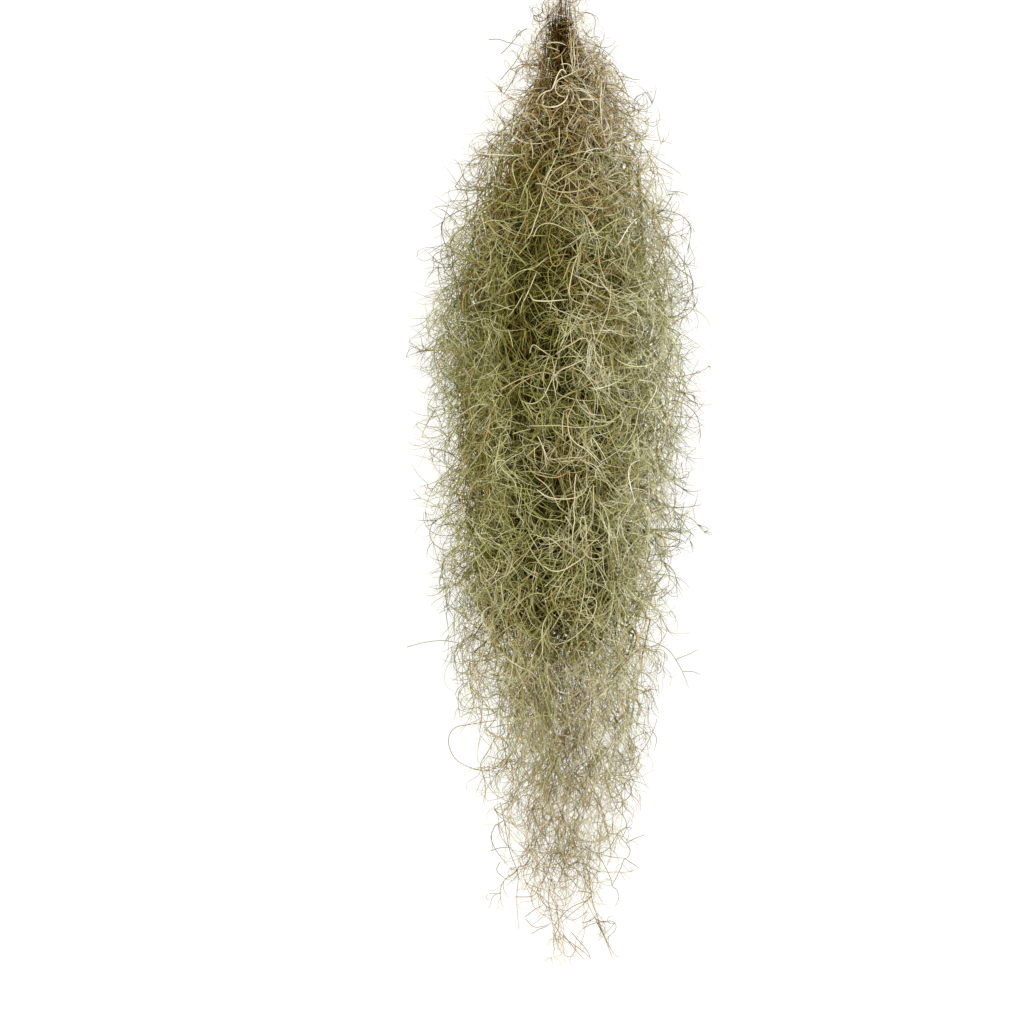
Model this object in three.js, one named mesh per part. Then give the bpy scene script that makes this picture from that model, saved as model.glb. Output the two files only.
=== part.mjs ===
// A bunch of Spanish moss lying on a flat surface, as picked.
//
// The bunch is a loose rope of long festoons. Their dry cut ends are gathered in a narrow neck,
// they swell side by side into a wide body, and they run out one by one into a thin tail.
// Each festoon is one plain closed solid with the outer shape of its own hank of strands.
//
// Frame, in millimetres: +Z is up from the surface, +Y runs from the tail towards the neck,
// and the origin is the middle of the bunch's footprint.

import * as THREE from "three";

// Driving dimensions
const LENGTH = 1000; // from the cut ends to the tip of the tail
const FESTOON_SIDES = 8;
const RING_STEP = 2 / 7; // between the rings of festoons, as a share of the body's half width
const FESTOON_RADIUS = 0.131; // as a share of the half width: what leaves a thin gap all round
const LEAST_RADIUS = 0.82; // where a festoon is drawn in, as a share of its full radius
const NECK_RADIUS = 0.9; // the same share at the cut end
const SWELL_LENGTH = 210; // between two swellings of a festoon
const LEAST_SPAN = 16; // along a festoon, between two of its cross sections
const TIP_TAPER = 150; // over which a festoon thins out to its tip
const CUT_STAGGER = 14; // the furthest that a cut end stands back in the neck
const TWIST = THREE.MathUtils.degToRad(38); // of the rope, from neck to tail
const UNDERSIDE_SHORTER = 110; // by which the lowest festoons end before the highest ones

// Cross sections of the whole rope, by the distance from the cut ends:
// [distance, half width, half thickness, height of the middle, sideways shift of the middle]
const SECTIONS = [
  [0, 14, 11, 10.5, 4],
  [40, 17, 14, 13, 4],
  [95, 48, 30, 28, 6],
  [160, 82, 46, 43, 1],
  [230, 108, 60, 55, -2],
  [310, 137, 70, 63, -4],
  [400, 145, 73, 66, -1],
  [490, 140, 71, 64, -3],
  [580, 130, 65, 58, -6],
  [670, 113, 57, 50, -8],
  [760, 104, 49, 33, -9],
  [850, 96, 42, 15, -5],
  [930, 80, 36, 11, 2],
  [1000, 60, 30, 7, 10],
];

const LIVING_MOSS = { color: 0x8f8a58, roughness: 0.85, metalness: 0 };
const DRY_STEM = { color: 0x6b5233, roughness: 0.9, metalness: 0 };

// Rings of festoons from the middle outwards. The outer ones end first, so the inner ones are the tail.
const RINGS = [
  { name: "core_festoon", count: 1, ends: [965, 965], finish: DRY_STEM },
  { name: "inner_festoon", count: 6, ends: [900, 1000], finish: LIVING_MOSS },
  { name: "middle_festoon", count: 12, ends: [770, 880], finish: LIVING_MOSS },
  { name: "outer_festoon", count: 18, ends: [660, 780], finish: LIVING_MOSS },
];

const rope = new THREE.CubicInterpolant(
  SECTIONS.map((row) => row[0]),
  SECTIONS.flatMap((row) => row.slice(1)),
  SECTIONS[0].length - 1
);

/** A share from 0 to 1 that is always the same for the same festoon and use. */
function share(index, use) {
  return THREE.MathUtils.seededRandom(1 + index * 97 + use * 31);
}

/** Carries a point of the unit disc, at a distance from the cut ends, to its place in the rope. */
function placeInRope(across, up, distance) {
  const [halfWidth, halfThickness, middleHeight, shift] = rope.evaluate(distance);
  const turned = new THREE.Vector2(across, up).rotateAround(
    new THREE.Vector2(),
    (TWIST * distance) / LENGTH
  );
  // The surface holds up what would hang below it, so the lowest festoons have flat undersides.
  const height = Math.max(0, middleHeight + halfThickness * turned.y);
  return new THREE.Vector3(
    shift + halfWidth * turned.x,
    LENGTH / 2 - distance,
    height
  );
}

/** How thick a festoon is at a distance from the cut ends, as a share of the half width. */
function festoonRadius(index, end, distance) {
  const swellPhase = 2 * Math.PI * share(index, 3);
  const swell = 0.5 + 0.5 * Math.sin(swellPhase + (2 * Math.PI * distance) / SWELL_LENGTH);
  const body = THREE.MathUtils.lerp(LEAST_RADIUS, 1, swell);
  const leavingNeck = THREE.MathUtils.smoothstep(distance, 0, SWELL_LENGTH);
  const atTip = Math.sqrt(THREE.MathUtils.clamp((end - distance) / TIP_TAPER, 0, 1));
  return FESTOON_RADIUS * THREE.MathUtils.lerp(NECK_RADIUS, body, leavingNeck) * atTip;
}

/** Radius against place along the bunch, from the point of the tip to the middle of the cut end. */
function festoonProfile(index, start, end) {
  const between = SECTIONS.map((row) => row[0]).filter(
    (distance) => distance > start + LEAST_SPAN && distance < end - LEAST_SPAN
  );
  // Festoons share the rope's own cross sections, which keeps their flat faces apart.
  const rings = [start, ...between, end - LEAST_SPAN].reverse();
  return [
    new THREE.Vector2(0, -end),
    ...rings.map((distance) => new THREE.Vector2(festoonRadius(index, end, distance), -distance)),
    new THREE.Vector2(0, -start),
  ];
}

/** One festoon's solid: a spindle turned about its own line, then carried into the rope. */
function festoonGeometry(index, middle, start, end) {
  const profile = festoonProfile(index, start, end);
  const geometry = new THREE.LatheGeometry(profile, FESTOON_SIDES);
  const place = geometry.getAttribute("position");
  for (let i = 0; i < place.count; i++) {
    const moved = placeInRope(middle.x + place.getX(i), middle.y + place.getZ(i), -place.getY(i));
    place.setXYZ(i, moved.x, moved.y, moved.z);
  }
  geometry.computeVertexNormals();
  return geometry;
}

const bunch = new THREE.Group();
let index = 0;
RINGS.forEach((ring, ringNumber) => {
  for (let i = 0; i < ring.count; i++) {
    const turn = (2 * Math.PI * (i + 0.5)) / ring.count;
    const middle = new THREE.Vector2(Math.cos(turn), Math.sin(turn)).multiplyScalar(
      ringNumber * RING_STEP
    );
    const start = CUT_STAGGER * share(index, 1);
    const underside = Math.max(0, -Math.sin(turn + TWIST));
    const end =
      THREE.MathUtils.lerp(...ring.ends, share(index, 2)) - UNDERSIDE_SHORTER * underside;
    const festoon = new THREE.Mesh(
      festoonGeometry(index, middle, start, end),
      new THREE.MeshStandardMaterial(ring.finish)
    );
    festoon.name = ring.count > 1 ? `${ring.name}_${i + 1}` : ring.name;
    bunch.add(festoon);
    index += 1;
  }
});

// The origin goes to the middle of the footprint, on the surface.
const box = new THREE.Box3().setFromObject(bunch);
const middle = box.getCenter(new THREE.Vector3());
bunch.position.set(-middle.x, -middle.y, -box.min.z);

export default bunch;
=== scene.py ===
# A bunch of Spanish moss, as picked, lying on a pale floor.
#
# The frame holds one plain solid for each festoon, or hank, of the bunch. Here each festoon becomes
# its own strands: long wiry stems that run from the neck to the tail, curly shoots that fork off
# them, and the thread-like leaves of both. Everything is in metres; +Y is the neck and +Z is up.
import math

import bmesh
import bpy
import numpy as np
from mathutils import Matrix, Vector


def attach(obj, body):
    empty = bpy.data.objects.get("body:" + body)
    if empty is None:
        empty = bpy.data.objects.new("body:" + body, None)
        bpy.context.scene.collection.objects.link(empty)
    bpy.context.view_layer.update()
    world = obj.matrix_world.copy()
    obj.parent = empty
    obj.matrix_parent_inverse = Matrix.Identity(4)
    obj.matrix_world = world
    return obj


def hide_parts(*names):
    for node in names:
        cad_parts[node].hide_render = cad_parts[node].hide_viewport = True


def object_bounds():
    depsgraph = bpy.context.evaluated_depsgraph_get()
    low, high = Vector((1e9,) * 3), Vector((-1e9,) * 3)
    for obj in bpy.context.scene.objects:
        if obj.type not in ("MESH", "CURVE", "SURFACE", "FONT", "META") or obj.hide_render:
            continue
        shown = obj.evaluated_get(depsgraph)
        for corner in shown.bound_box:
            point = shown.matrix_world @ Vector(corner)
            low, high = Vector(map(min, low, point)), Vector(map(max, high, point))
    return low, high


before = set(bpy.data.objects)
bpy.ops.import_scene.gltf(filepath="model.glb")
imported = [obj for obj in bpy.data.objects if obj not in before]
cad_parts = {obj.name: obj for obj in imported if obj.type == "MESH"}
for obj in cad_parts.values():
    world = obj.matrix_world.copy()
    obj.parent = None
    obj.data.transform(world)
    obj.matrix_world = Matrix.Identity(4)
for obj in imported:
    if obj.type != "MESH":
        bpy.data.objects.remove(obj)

cad_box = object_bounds()
MM = 0.001
BUNCH_LENGTH = 1.0
NECK_Y = cad_box[1].y  # the cut ends

# By the distance from the cut ends, in millimetres: the left and the right edge of the loose
# outline, and the half width of the part that the stems fill.
OUTLINE = [
    (0, -14, 20, 14), (31, -20, 36, 14), (61, -51, 42, 15), (91, -61, 70, 27), (121, -80, 88, 43),
    (151, -89, 102, 59), (181, -101, 117, 75), (211, -114, 127, 86), (241, -120, 133, 94),
    (271, -128, 133, 100), (301, -140, 142, 109), (331, -147, 146, 112), (361, -147, 149, 111),
    (391, -147, 152, 109), (421, -146, 149, 109), (451, -148, 147, 108), (481, -149, 139, 105),
    (511, -145, 140, 103), (541, -140, 140, 99), (571, -136, 133, 97), (601, -131, 122, 97),
    (631, -127, 124, 96), (661, -115, 125, 90), (691, -112, 119, 84), (721, -103, 98, 74),
    (751, -101, 88, 67), (781, -94, 91, 63), (811, -95, 87, 59), (841, -82, 82, 54),
    (871, -72, 76, 48), (901, -60, 70, 41), (931, -50, 54, 31), (961, -20, 47, 20), (1000, 8, 34, 12),
]
# The middle of the stems: its sideways place, by the distance from the cut ends.
STEM_LINE = [
    (0, 4), (60, 3), (105, 7), (170, 6), (260, 0), (450, 2), (560, 0), (640, -1), (720, -2),
    (780, 6), (830, 9), (900, 9), (1000, 16),
]
# The dark cleft down the front: its sideways place and how deep it is, from 0 to 1, by the distance
# from the cut ends.
CLEFT = [
    (30, 0, 0), (43, 0, 1), (90, -3, 1), (111, -6, 0.5), (143, -16, 0.4), (175, -8, 0.3),
    (207, -33, 0.6), (239, -22, 0.4), (271, -19, 0.9), (303, -12, 0.9), (335, -30, 1), (367, -34, 0.8),
    (399, -30, 0.3), (431, -38, 0.1), (463, -8, 0), (495, -30, 0), (527, -35, 0.1),
    (559, -48, 0.1), (591, -30, 0.1), (623, -19, 0.45), (655, -3, 0.5), (687, -3, 0.2), (719, -3, 0),
]
CLEFT_WIDTH = 16 * MM
CLEFT_THINNING = 0.7  # the share of the strands that the deepest cleft lacks
CLEFT_SHADE = 0.5  # how much darker its strands are

# For each ring of festoons: stems from the cut ends, stems that fork off further down, old matted
# stems along the body and in the neck, curly shoots, and leaves to a node.
RINGS = {
    "core": {"stems": 12, "forks": 10, "matted": 46, "neck_matted": 12, "shoots": 80, "leaves": 1.8},
    "inner": {"stems": 3, "forks": 9, "matted": 30, "neck_matted": 4, "shoots": 44, "leaves": 1.9},
    "middle": {"stems": 1, "forks": 9, "matted": 30, "neck_matted": 2, "shoots": 52, "leaves": 2.0},
    "outer": {"stems": 1, "forks": 9, "matted": 28, "neck_matted": 1, "shoots": 90, "leaves": 3.2},
}

# Single strands on the front of the bunch, from the neck to the tail: (tone, [(sideways place, distance
# from the cut ends), ...]) in millimetres. The tone runs from 0, dark and thin, to 1, bright and thick.
FRONT_DRY = [
    (0.80, [(-11, 65), (-4, 64), (3, 65), (9, 68)]),
    (0.70, [(-11, 69), (-5, 71), (1, 74)]),
    (0.60, [(-7, 82), (-1, 80), (3, 77), (8, 69)]),
    (0.75, [(12, 53), (13, 69), (12, 82), (15, 93)]),
    (0.80, [(16, 55), (15, 72), (17, 85), (14, 96)]),
    (0.65, [(20, 67), (18, 79), (20, 91)]),
    (0.70, [(13, 57), (16, 69), (14, 81), (13, 91)]),
    (0.60, [(10, 53), (11, 65), (15, 77)]),
    (0.80, [(2, 88), (7, 87), (12, 89), (14, 94), (13, 99)]),
    (0.90, [(-7, 115), (-4, 107), (-1, 99), (2, 94), (5, 94), (8, 98)]),
    (0.80, [(-7, 114), (-1, 105), (6, 102), (14, 98), (20, 93), (27, 93)]),
    (0.85, [(-23, 128), (-19, 121), (-13, 117), (-7, 116), (-3, 107), (-1, 101)]),
    (0.90, [(-18, 130), (-12, 134), (-4, 134), (3, 131), (8, 125), (10, 117), (8, 110), (3, 107)]),
    (0.75, [(-1, 106), (-4, 114), (-2, 120), (2, 123), (8, 122)]),
    (0.70, [(-16, 133), (-17, 124), (-13, 117)]),
    (0.70, [(1, 112), (6, 115), (10, 116), (16, 113), (21, 112)]),
    (0.85, [(20, 126), (27, 126), (34, 126), (41, 125)]),
    (0.75, [(17, 116), (19, 123), (22, 132), (27, 137), (33, 138), (38, 134), (41, 127)]),
    (0.90, [(43, 102), (43, 115), (41, 127), (42, 142), (43, 158)]),
    (0.80, [(47, 104), (45, 117), (42, 129)]),
    (0.70, [(40, 102), (41, 113), (45, 125)]),
    (0.60, [(39, 130), (45, 131), (52, 137)]),
    (0.80, [(20, 131), (17, 139), (12, 147), (7, 156)]),
    (0.70, [(23, 142), (18, 149), (12, 158)]),
    (0.75, [(-42, 141), (-31, 139), (-24, 144), (-19, 152), (-12, 157)]),
    (0.70, [(-24, 130), (-18, 131), (-13, 137), (-9, 147), (-10, 158)]),
    (0.65, [(-9, 154), (-7, 145), (-3, 138), (3, 133)]),
    (0.60, [(4, 135), (8, 142), (10, 149)]),
    (0.30, [(43, 91), (47, 87), (52, 87), (57, 91), (61, 99), (66, 109), (71, 122)]),
    (0.25, [(-71, 57), (-59, 57), (-47, 63), (-37, 67)]),
    (0.30, [(-59, 72), (-47, 63), (-39, 50), (-31, 46)]),
    (0.25, [(18, 56), (31, 64), (43, 67), (57, 78)]),
    (0.25, [(29, 74), (41, 73), (50, 77)]),
    (0.30, [(24, 47), (31, 59), (42, 53)]),
    (0.25, [(59, 98), (71, 99), (83, 99)]),
    (0.30, [(-47, 107), (-43, 95), (-35, 89), (-29, 79)]),
    (0.30, [(-59, 102), (-47, 89), (-39, 77), (-35, 65)]),
    (0.30, [(-56, 119), (-49, 109), (-43, 97)]),
    (0.35, [(31, 75), (35, 85), (39, 95)]),
    (0.30, [(47, 113), (57, 123), (67, 135), (75, 149)]),
    (0.30, [(45, 129), (53, 135), (63, 137), (73, 131), (81, 135)]),
    (0.85, [(-29, 167), (-27, 175), (-26, 183), (-27, 189)]),
    (0.85, [(-24, 214), (-18, 214), (-12, 216)]),
    (0.85, [(-13, 216), (-10, 207), (-4, 200), (4, 195), (12, 192)]),
    (0.90, [(-9, 216), (-1, 211), (8, 205), (16, 201), (23, 195), (27, 190), (31, 197)]),
    (0.85, [(-13, 217), (-7, 220), (1, 223), (11, 223), (21, 221), (29, 218), (35, 213), (40, 206)]),
    (0.95, [(-12, 216), (-16, 224), (-18, 233), (-21, 244), (-25, 254), (-28, 265), (-36, 274)]),
    (0.90, [(4, 224), (11, 230), (19, 239), (25, 246), (30, 254), (35, 263), (39, 273), (41, 285)]),
    (0.75, [(16, 231), (25, 229), (33, 227), (42, 227)]),
    (0.90, [(-26, 268), (-23, 259), (-17, 255), (-10, 254), (-3, 256), (5, 260), (13, 264), (21, 273)]),
    (0.75, [(15, 257), (24, 256), (32, 254)]),
    (0.70, [(32, 252), (36, 243), (40, 235), (42, 227)]),
    (0.75, [(-8, 252), (-1, 246), (5, 241), (8, 233)]),
    (0.80, [(2, 187), (13, 184), (21, 181), (29, 181), (35, 184)]),
    (0.80, [(24, 164), (22, 173), (18, 181), (15, 189)]),
    (0.85, [(25, 168), (28, 177), (35, 184)]),
    (0.75, [(31, 159), (35, 169), (42, 178)]),
    (0.80, [(16, 204), (19, 211), (19, 219), (17, 227), (15, 233)]),
    (0.75, [(-30, 221), (-28, 231), (-23, 238)]),
    (0.80, [(38, 222), (35, 233), (32, 245)]),
    (0.70, [(8, 158), (8, 167), (4, 174), (1, 180)]),
    (0.70, [(-23, 166), (-16, 163), (-9, 163)]),
    (0.80, [(-36, 300), (-29, 300), (-22, 297), (-17, 292), (-11, 287)]),
    (0.95, [(-23, 303), (-26, 311), (-29, 318), (-33, 327), (-37, 334), (-39, 345)]),
    (0.95, [(-29, 325), (-27, 331), (-19, 332), (-9, 332), (1, 331), (8, 330)]),
    (0.75, [(-25, 314), (-19, 320), (-14, 327), (-10, 335), (-5, 341), (1, 347)]),
    (0.70, [(-13, 273), (-10, 285), (-8, 296), (-2, 298), (3, 289), (7, 277)]),
    (0.65, [(-8, 287), (1, 286), (10, 285)]),
    (0.95, [(17, 288), (13, 299), (11, 309), (9, 319), (9, 327), (15, 332)]),
    (0.85, [(16, 271), (18, 282), (18, 295), (15, 306)]),
    (0.75, [(20, 273), (20, 287), (18, 299)]),
    (0.75, [(10, 274), (14, 281), (19, 288)]),
    (0.75, [(3, 311), (7, 301), (10, 292), (15, 287)]),
    (0.95, [(14, 306), (23, 310), (31, 314), (39, 318), (48, 318)]),
    (0.75, [(21, 304), (26, 299), (32, 296)]),
    (0.80, [(11, 330), (19, 334), (27, 336), (34, 337)]),
    (0.80, [(19, 310), (22, 319), (27, 325), (32, 323), (32, 315)]),
    (0.85, [(47, 272), (44, 282), (43, 290)]),
    (0.90, [(50, 315), (50, 327), (48, 339), (46, 347), (41, 359), (37, 367), (32, 380)]),
    (0.80, [(4, 367), (13, 359), (18, 354), (21, 346)]),
    (0.90, [(-30, 383), (-27, 373), (-19, 379), (-12, 384), (-5, 388)]),
    (0.90, [(-4, 384), (4, 378), (13, 373), (21, 368), (27, 369), (31, 380)]),
    (0.75, [(24, 368), (23, 357), (25, 349), (30, 342), (34, 334)]),
    (0.50, [(-39, 356), (-34, 360), (-33, 365), (-38, 371)]),
    (0.85, [(-59, 419), (-49, 413), (-39, 408), (-29, 405), (-21, 402), (-13, 402), (-5, 404), (4, 407)]),
    (0.75, [(-52, 424), (-44, 415), (-35, 410), (-25, 405)]),
    (0.90, [(-8, 387), (-5, 399), (-7, 409), (-5, 419), (-3, 430)]),
    (0.80, [(-10, 413), (-6, 401), (-3, 390)]),
    (0.95, [(-6, 405), (1, 399), (9, 396), (16, 393), (23, 389), (31, 383)]),
    (0.85, [(12, 397), (19, 400), (24, 403), (29, 408), (36, 412)]),
    (0.75, [(31, 379), (33, 387), (39, 397), (46, 405), (52, 413)]),
    (0.90, [(22, 428), (27, 437), (32, 446)]),
    (0.80, [(31, 415), (35, 425), (34, 437), (33, 450)]),
    (0.75, [(24, 416), (35, 410), (46, 412)]),
    (0.80, [(4, 440), (9, 437), (13, 440), (18, 446)]),
    (0.85, [(3, 469), (2, 452), (4, 438)]),
    (0.75, [(6, 440), (7, 449), (12, 454), (20, 453)]),
    (0.98, [(7, 456), (10, 465), (16, 472), (24, 476), (30, 481), (36, 488), (44, 496)]),
    (0.85, [(-10, 487), (1, 486), (11, 485), (21, 485), (29, 482), (35, 478), (42, 475)]),
    (0.80, [(-25, 474), (-25, 485), (-23, 492)]),
    (0.85, [(-33, 484), (-25, 477), (-18, 471)]),
    (0.85, [(-18, 473), (-15, 480), (-14, 489), (-13, 496)]),
    (0.80, [(-35, 430), (-30, 437), (-26, 447)]),
    (0.75, [(-24, 452), (-22, 443), (-18, 436)]),
    (0.80, [(16, 468), (23, 461), (32, 455)]),
    (0.75, [(-30, 496), (-24, 501), (-14, 504), (-4, 505), (4, 502), (10, 497)]),
    (0.98, [(-23, 516), (-14, 523), (-6, 525), (4, 526), (13, 525), (21, 522), (26, 516), (28, 508)]),
    (0.85, [(-24, 504), (-14, 511), (-8, 519), (-4, 527), (-1, 534), (6, 539), (13, 543)]),
    (0.95, [(16, 501), (14, 515), (15, 524), (13, 535), (15, 545), (13, 555), (12, 567), (13, 583)]),
    (0.75, [(9, 497), (10, 511), (14, 524)]),
    (0.90, [(5, 542), (9, 548), (14, 556)]),
    (0.90, [(32, 546), (28, 557), (23, 565), (18, 572), (14, 580)]),
    (0.90, [(-22, 565), (-14, 563), (-8, 565), (-2, 570), (3, 575), (11, 579), (20, 585)]),
    (0.95, [(-17, 591), (-9, 596), (-2, 597), (5, 595), (13, 590), (21, 585), (28, 578)]),
    (0.85, [(23, 578), (29, 571), (35, 566), (42, 561)]),
    (0.90, [(22, 575), (27, 582), (33, 585), (41, 584), (48, 580)]),
    (0.85, [(33, 511), (33, 524), (33, 536), (32, 547)]),
    (0.75, [(-54, 603), (-47, 591), (-39, 583), (-30, 577)]),
    (0.80, [(-23, 589), (-25, 599), (-27, 608)]),
    (0.75, [(-38, 607), (-31, 602), (-24, 596)]),
    (0.95, [(25, 623), (33, 622), (37, 626), (36, 634), (32, 644), (25, 653), (15, 662), (6, 667),
        (-3, 670), (-10, 668)]),
    (0.75, [(12, 626), (21, 624), (27, 621), (32, 614)]),
    (0.75, [(11, 608), (19, 615), (27, 621)]),
    (0.80, [(15, 644), (23, 646), (31, 646)]),
    (0.85, [(-58, 606), (-57, 617), (-55, 628)]),
    (0.70, [(-41, 607), (-40, 622), (-42, 633)]),
    (0.75, [(-27, 607), (-26, 619), (-27, 632), (-23, 641)]),
    (0.75, [(-19, 627), (-9, 621), (-3, 614), (2, 607)]),
    (0.70, [(-49, 658), (-44, 667), (-38, 676)]),
    (0.70, [(-38, 701), (-33, 706), (-27, 710)]),
    (0.85, [(6, 688), (8, 702), (12, 712), (18, 721)]),
    (0.80, [(23, 676), (26, 687), (29, 695), (31, 705), (29, 717), (23, 731)]),
    (0.85, [(6, 728), (13, 722), (19, 718), (25, 713)]),
    (0.75, [(14, 676), (19, 670), (23, 665), (30, 669)]),
    (0.25, [(51, 707), (57, 698), (64, 689), (72, 682), (81, 672)]),
    (0.30, [(48, 705), (56, 695), (66, 684)]),
    (0.40, [(-62, 747), (-85, 751), (-107, 756), (-113, 771), (-105, 791), (-85, 799), (-64, 800)]),
    (0.35, [(-59, 832), (-56, 847), (-52, 867), (-49, 885), (-43, 899), (-40, 910), (-42, 925),
        (-42, 942), (-40, 966)]),
    (0.35, [(53, 825), (59, 839), (67, 847), (70, 857), (66, 867), (62, 873)]),
    (0.40, [(61, 866), (69, 875), (74, 883), (72, 890), (66, 893)]),
    (0.35, [(67, 891), (76, 897), (84, 903)]),
    (0.30, [(69, 875), (79, 870), (89, 867)]),
    (0.40, [(39, 884), (51, 888), (68, 891)]),
    (0.35, [(41, 887), (48, 899), (54, 912), (55, 920), (60, 923), (63, 932), (58, 942)]),
    (0.40, [(67, 892), (61, 907), (54, 920)]),
    (0.50, [(30, 900), (33, 922), (35, 937), (39, 947), (44, 962), (50, 977), (56, 989), (62, 994)]),
    (0.45, [(40, 953), (45, 967), (52, 984), (56, 995)]),
    (0.50, [(25, 963), (33, 958), (43, 956), (54, 958)]),
    (0.45, [(24, 957), (32, 955), (42, 949)]),
    (0.60, [(20, 924), (29, 924), (35, 928), (31, 933), (19, 937), (9, 943), (1, 952), (-4, 960)]),
    (0.60, [(34, 929), (24, 939), (13, 947), (3, 957)]),
    (0.60, [(-5, 957), (1, 967), (11, 975), (21, 982), (29, 989), (34, 995)]),
    (0.55, [(5, 968), (16, 982), (23, 990), (27, 995)]),
    (0.50, [(13, 966), (23, 977), (31, 987), (33, 995)]),
    (0.45, [(-9, 920), (-10, 937), (-7, 952), (-3, 967), (0, 985)]),
    (0.30, [(-59, 895), (-64, 904), (-56, 911), (-46, 914)]),
    (0.30, [(-69, 884), (-60, 879), (-48, 879)]),
    (0.40, [(-44, 931), (-34, 930), (-24, 929), (-19, 917), (-10, 906)]),
    (0.40, [(-34, 952), (-24, 942), (-15, 938)]),
    (0.35, [(-33, 954), (-25, 963), (-16, 961), (-7, 957)]),
    (0.35, [(-27, 969), (-18, 963), (-9, 959)]),
    (0.50, [(23, 827), (27, 842), (21, 857), (29, 873)]),
    (0.45, [(-29, 827), (-33, 842), (-28, 857), (-35, 873), (-27, 885)]),
    (0.45, [(37, 827), (42, 843), (38, 859), (46, 873)]),
]
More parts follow.
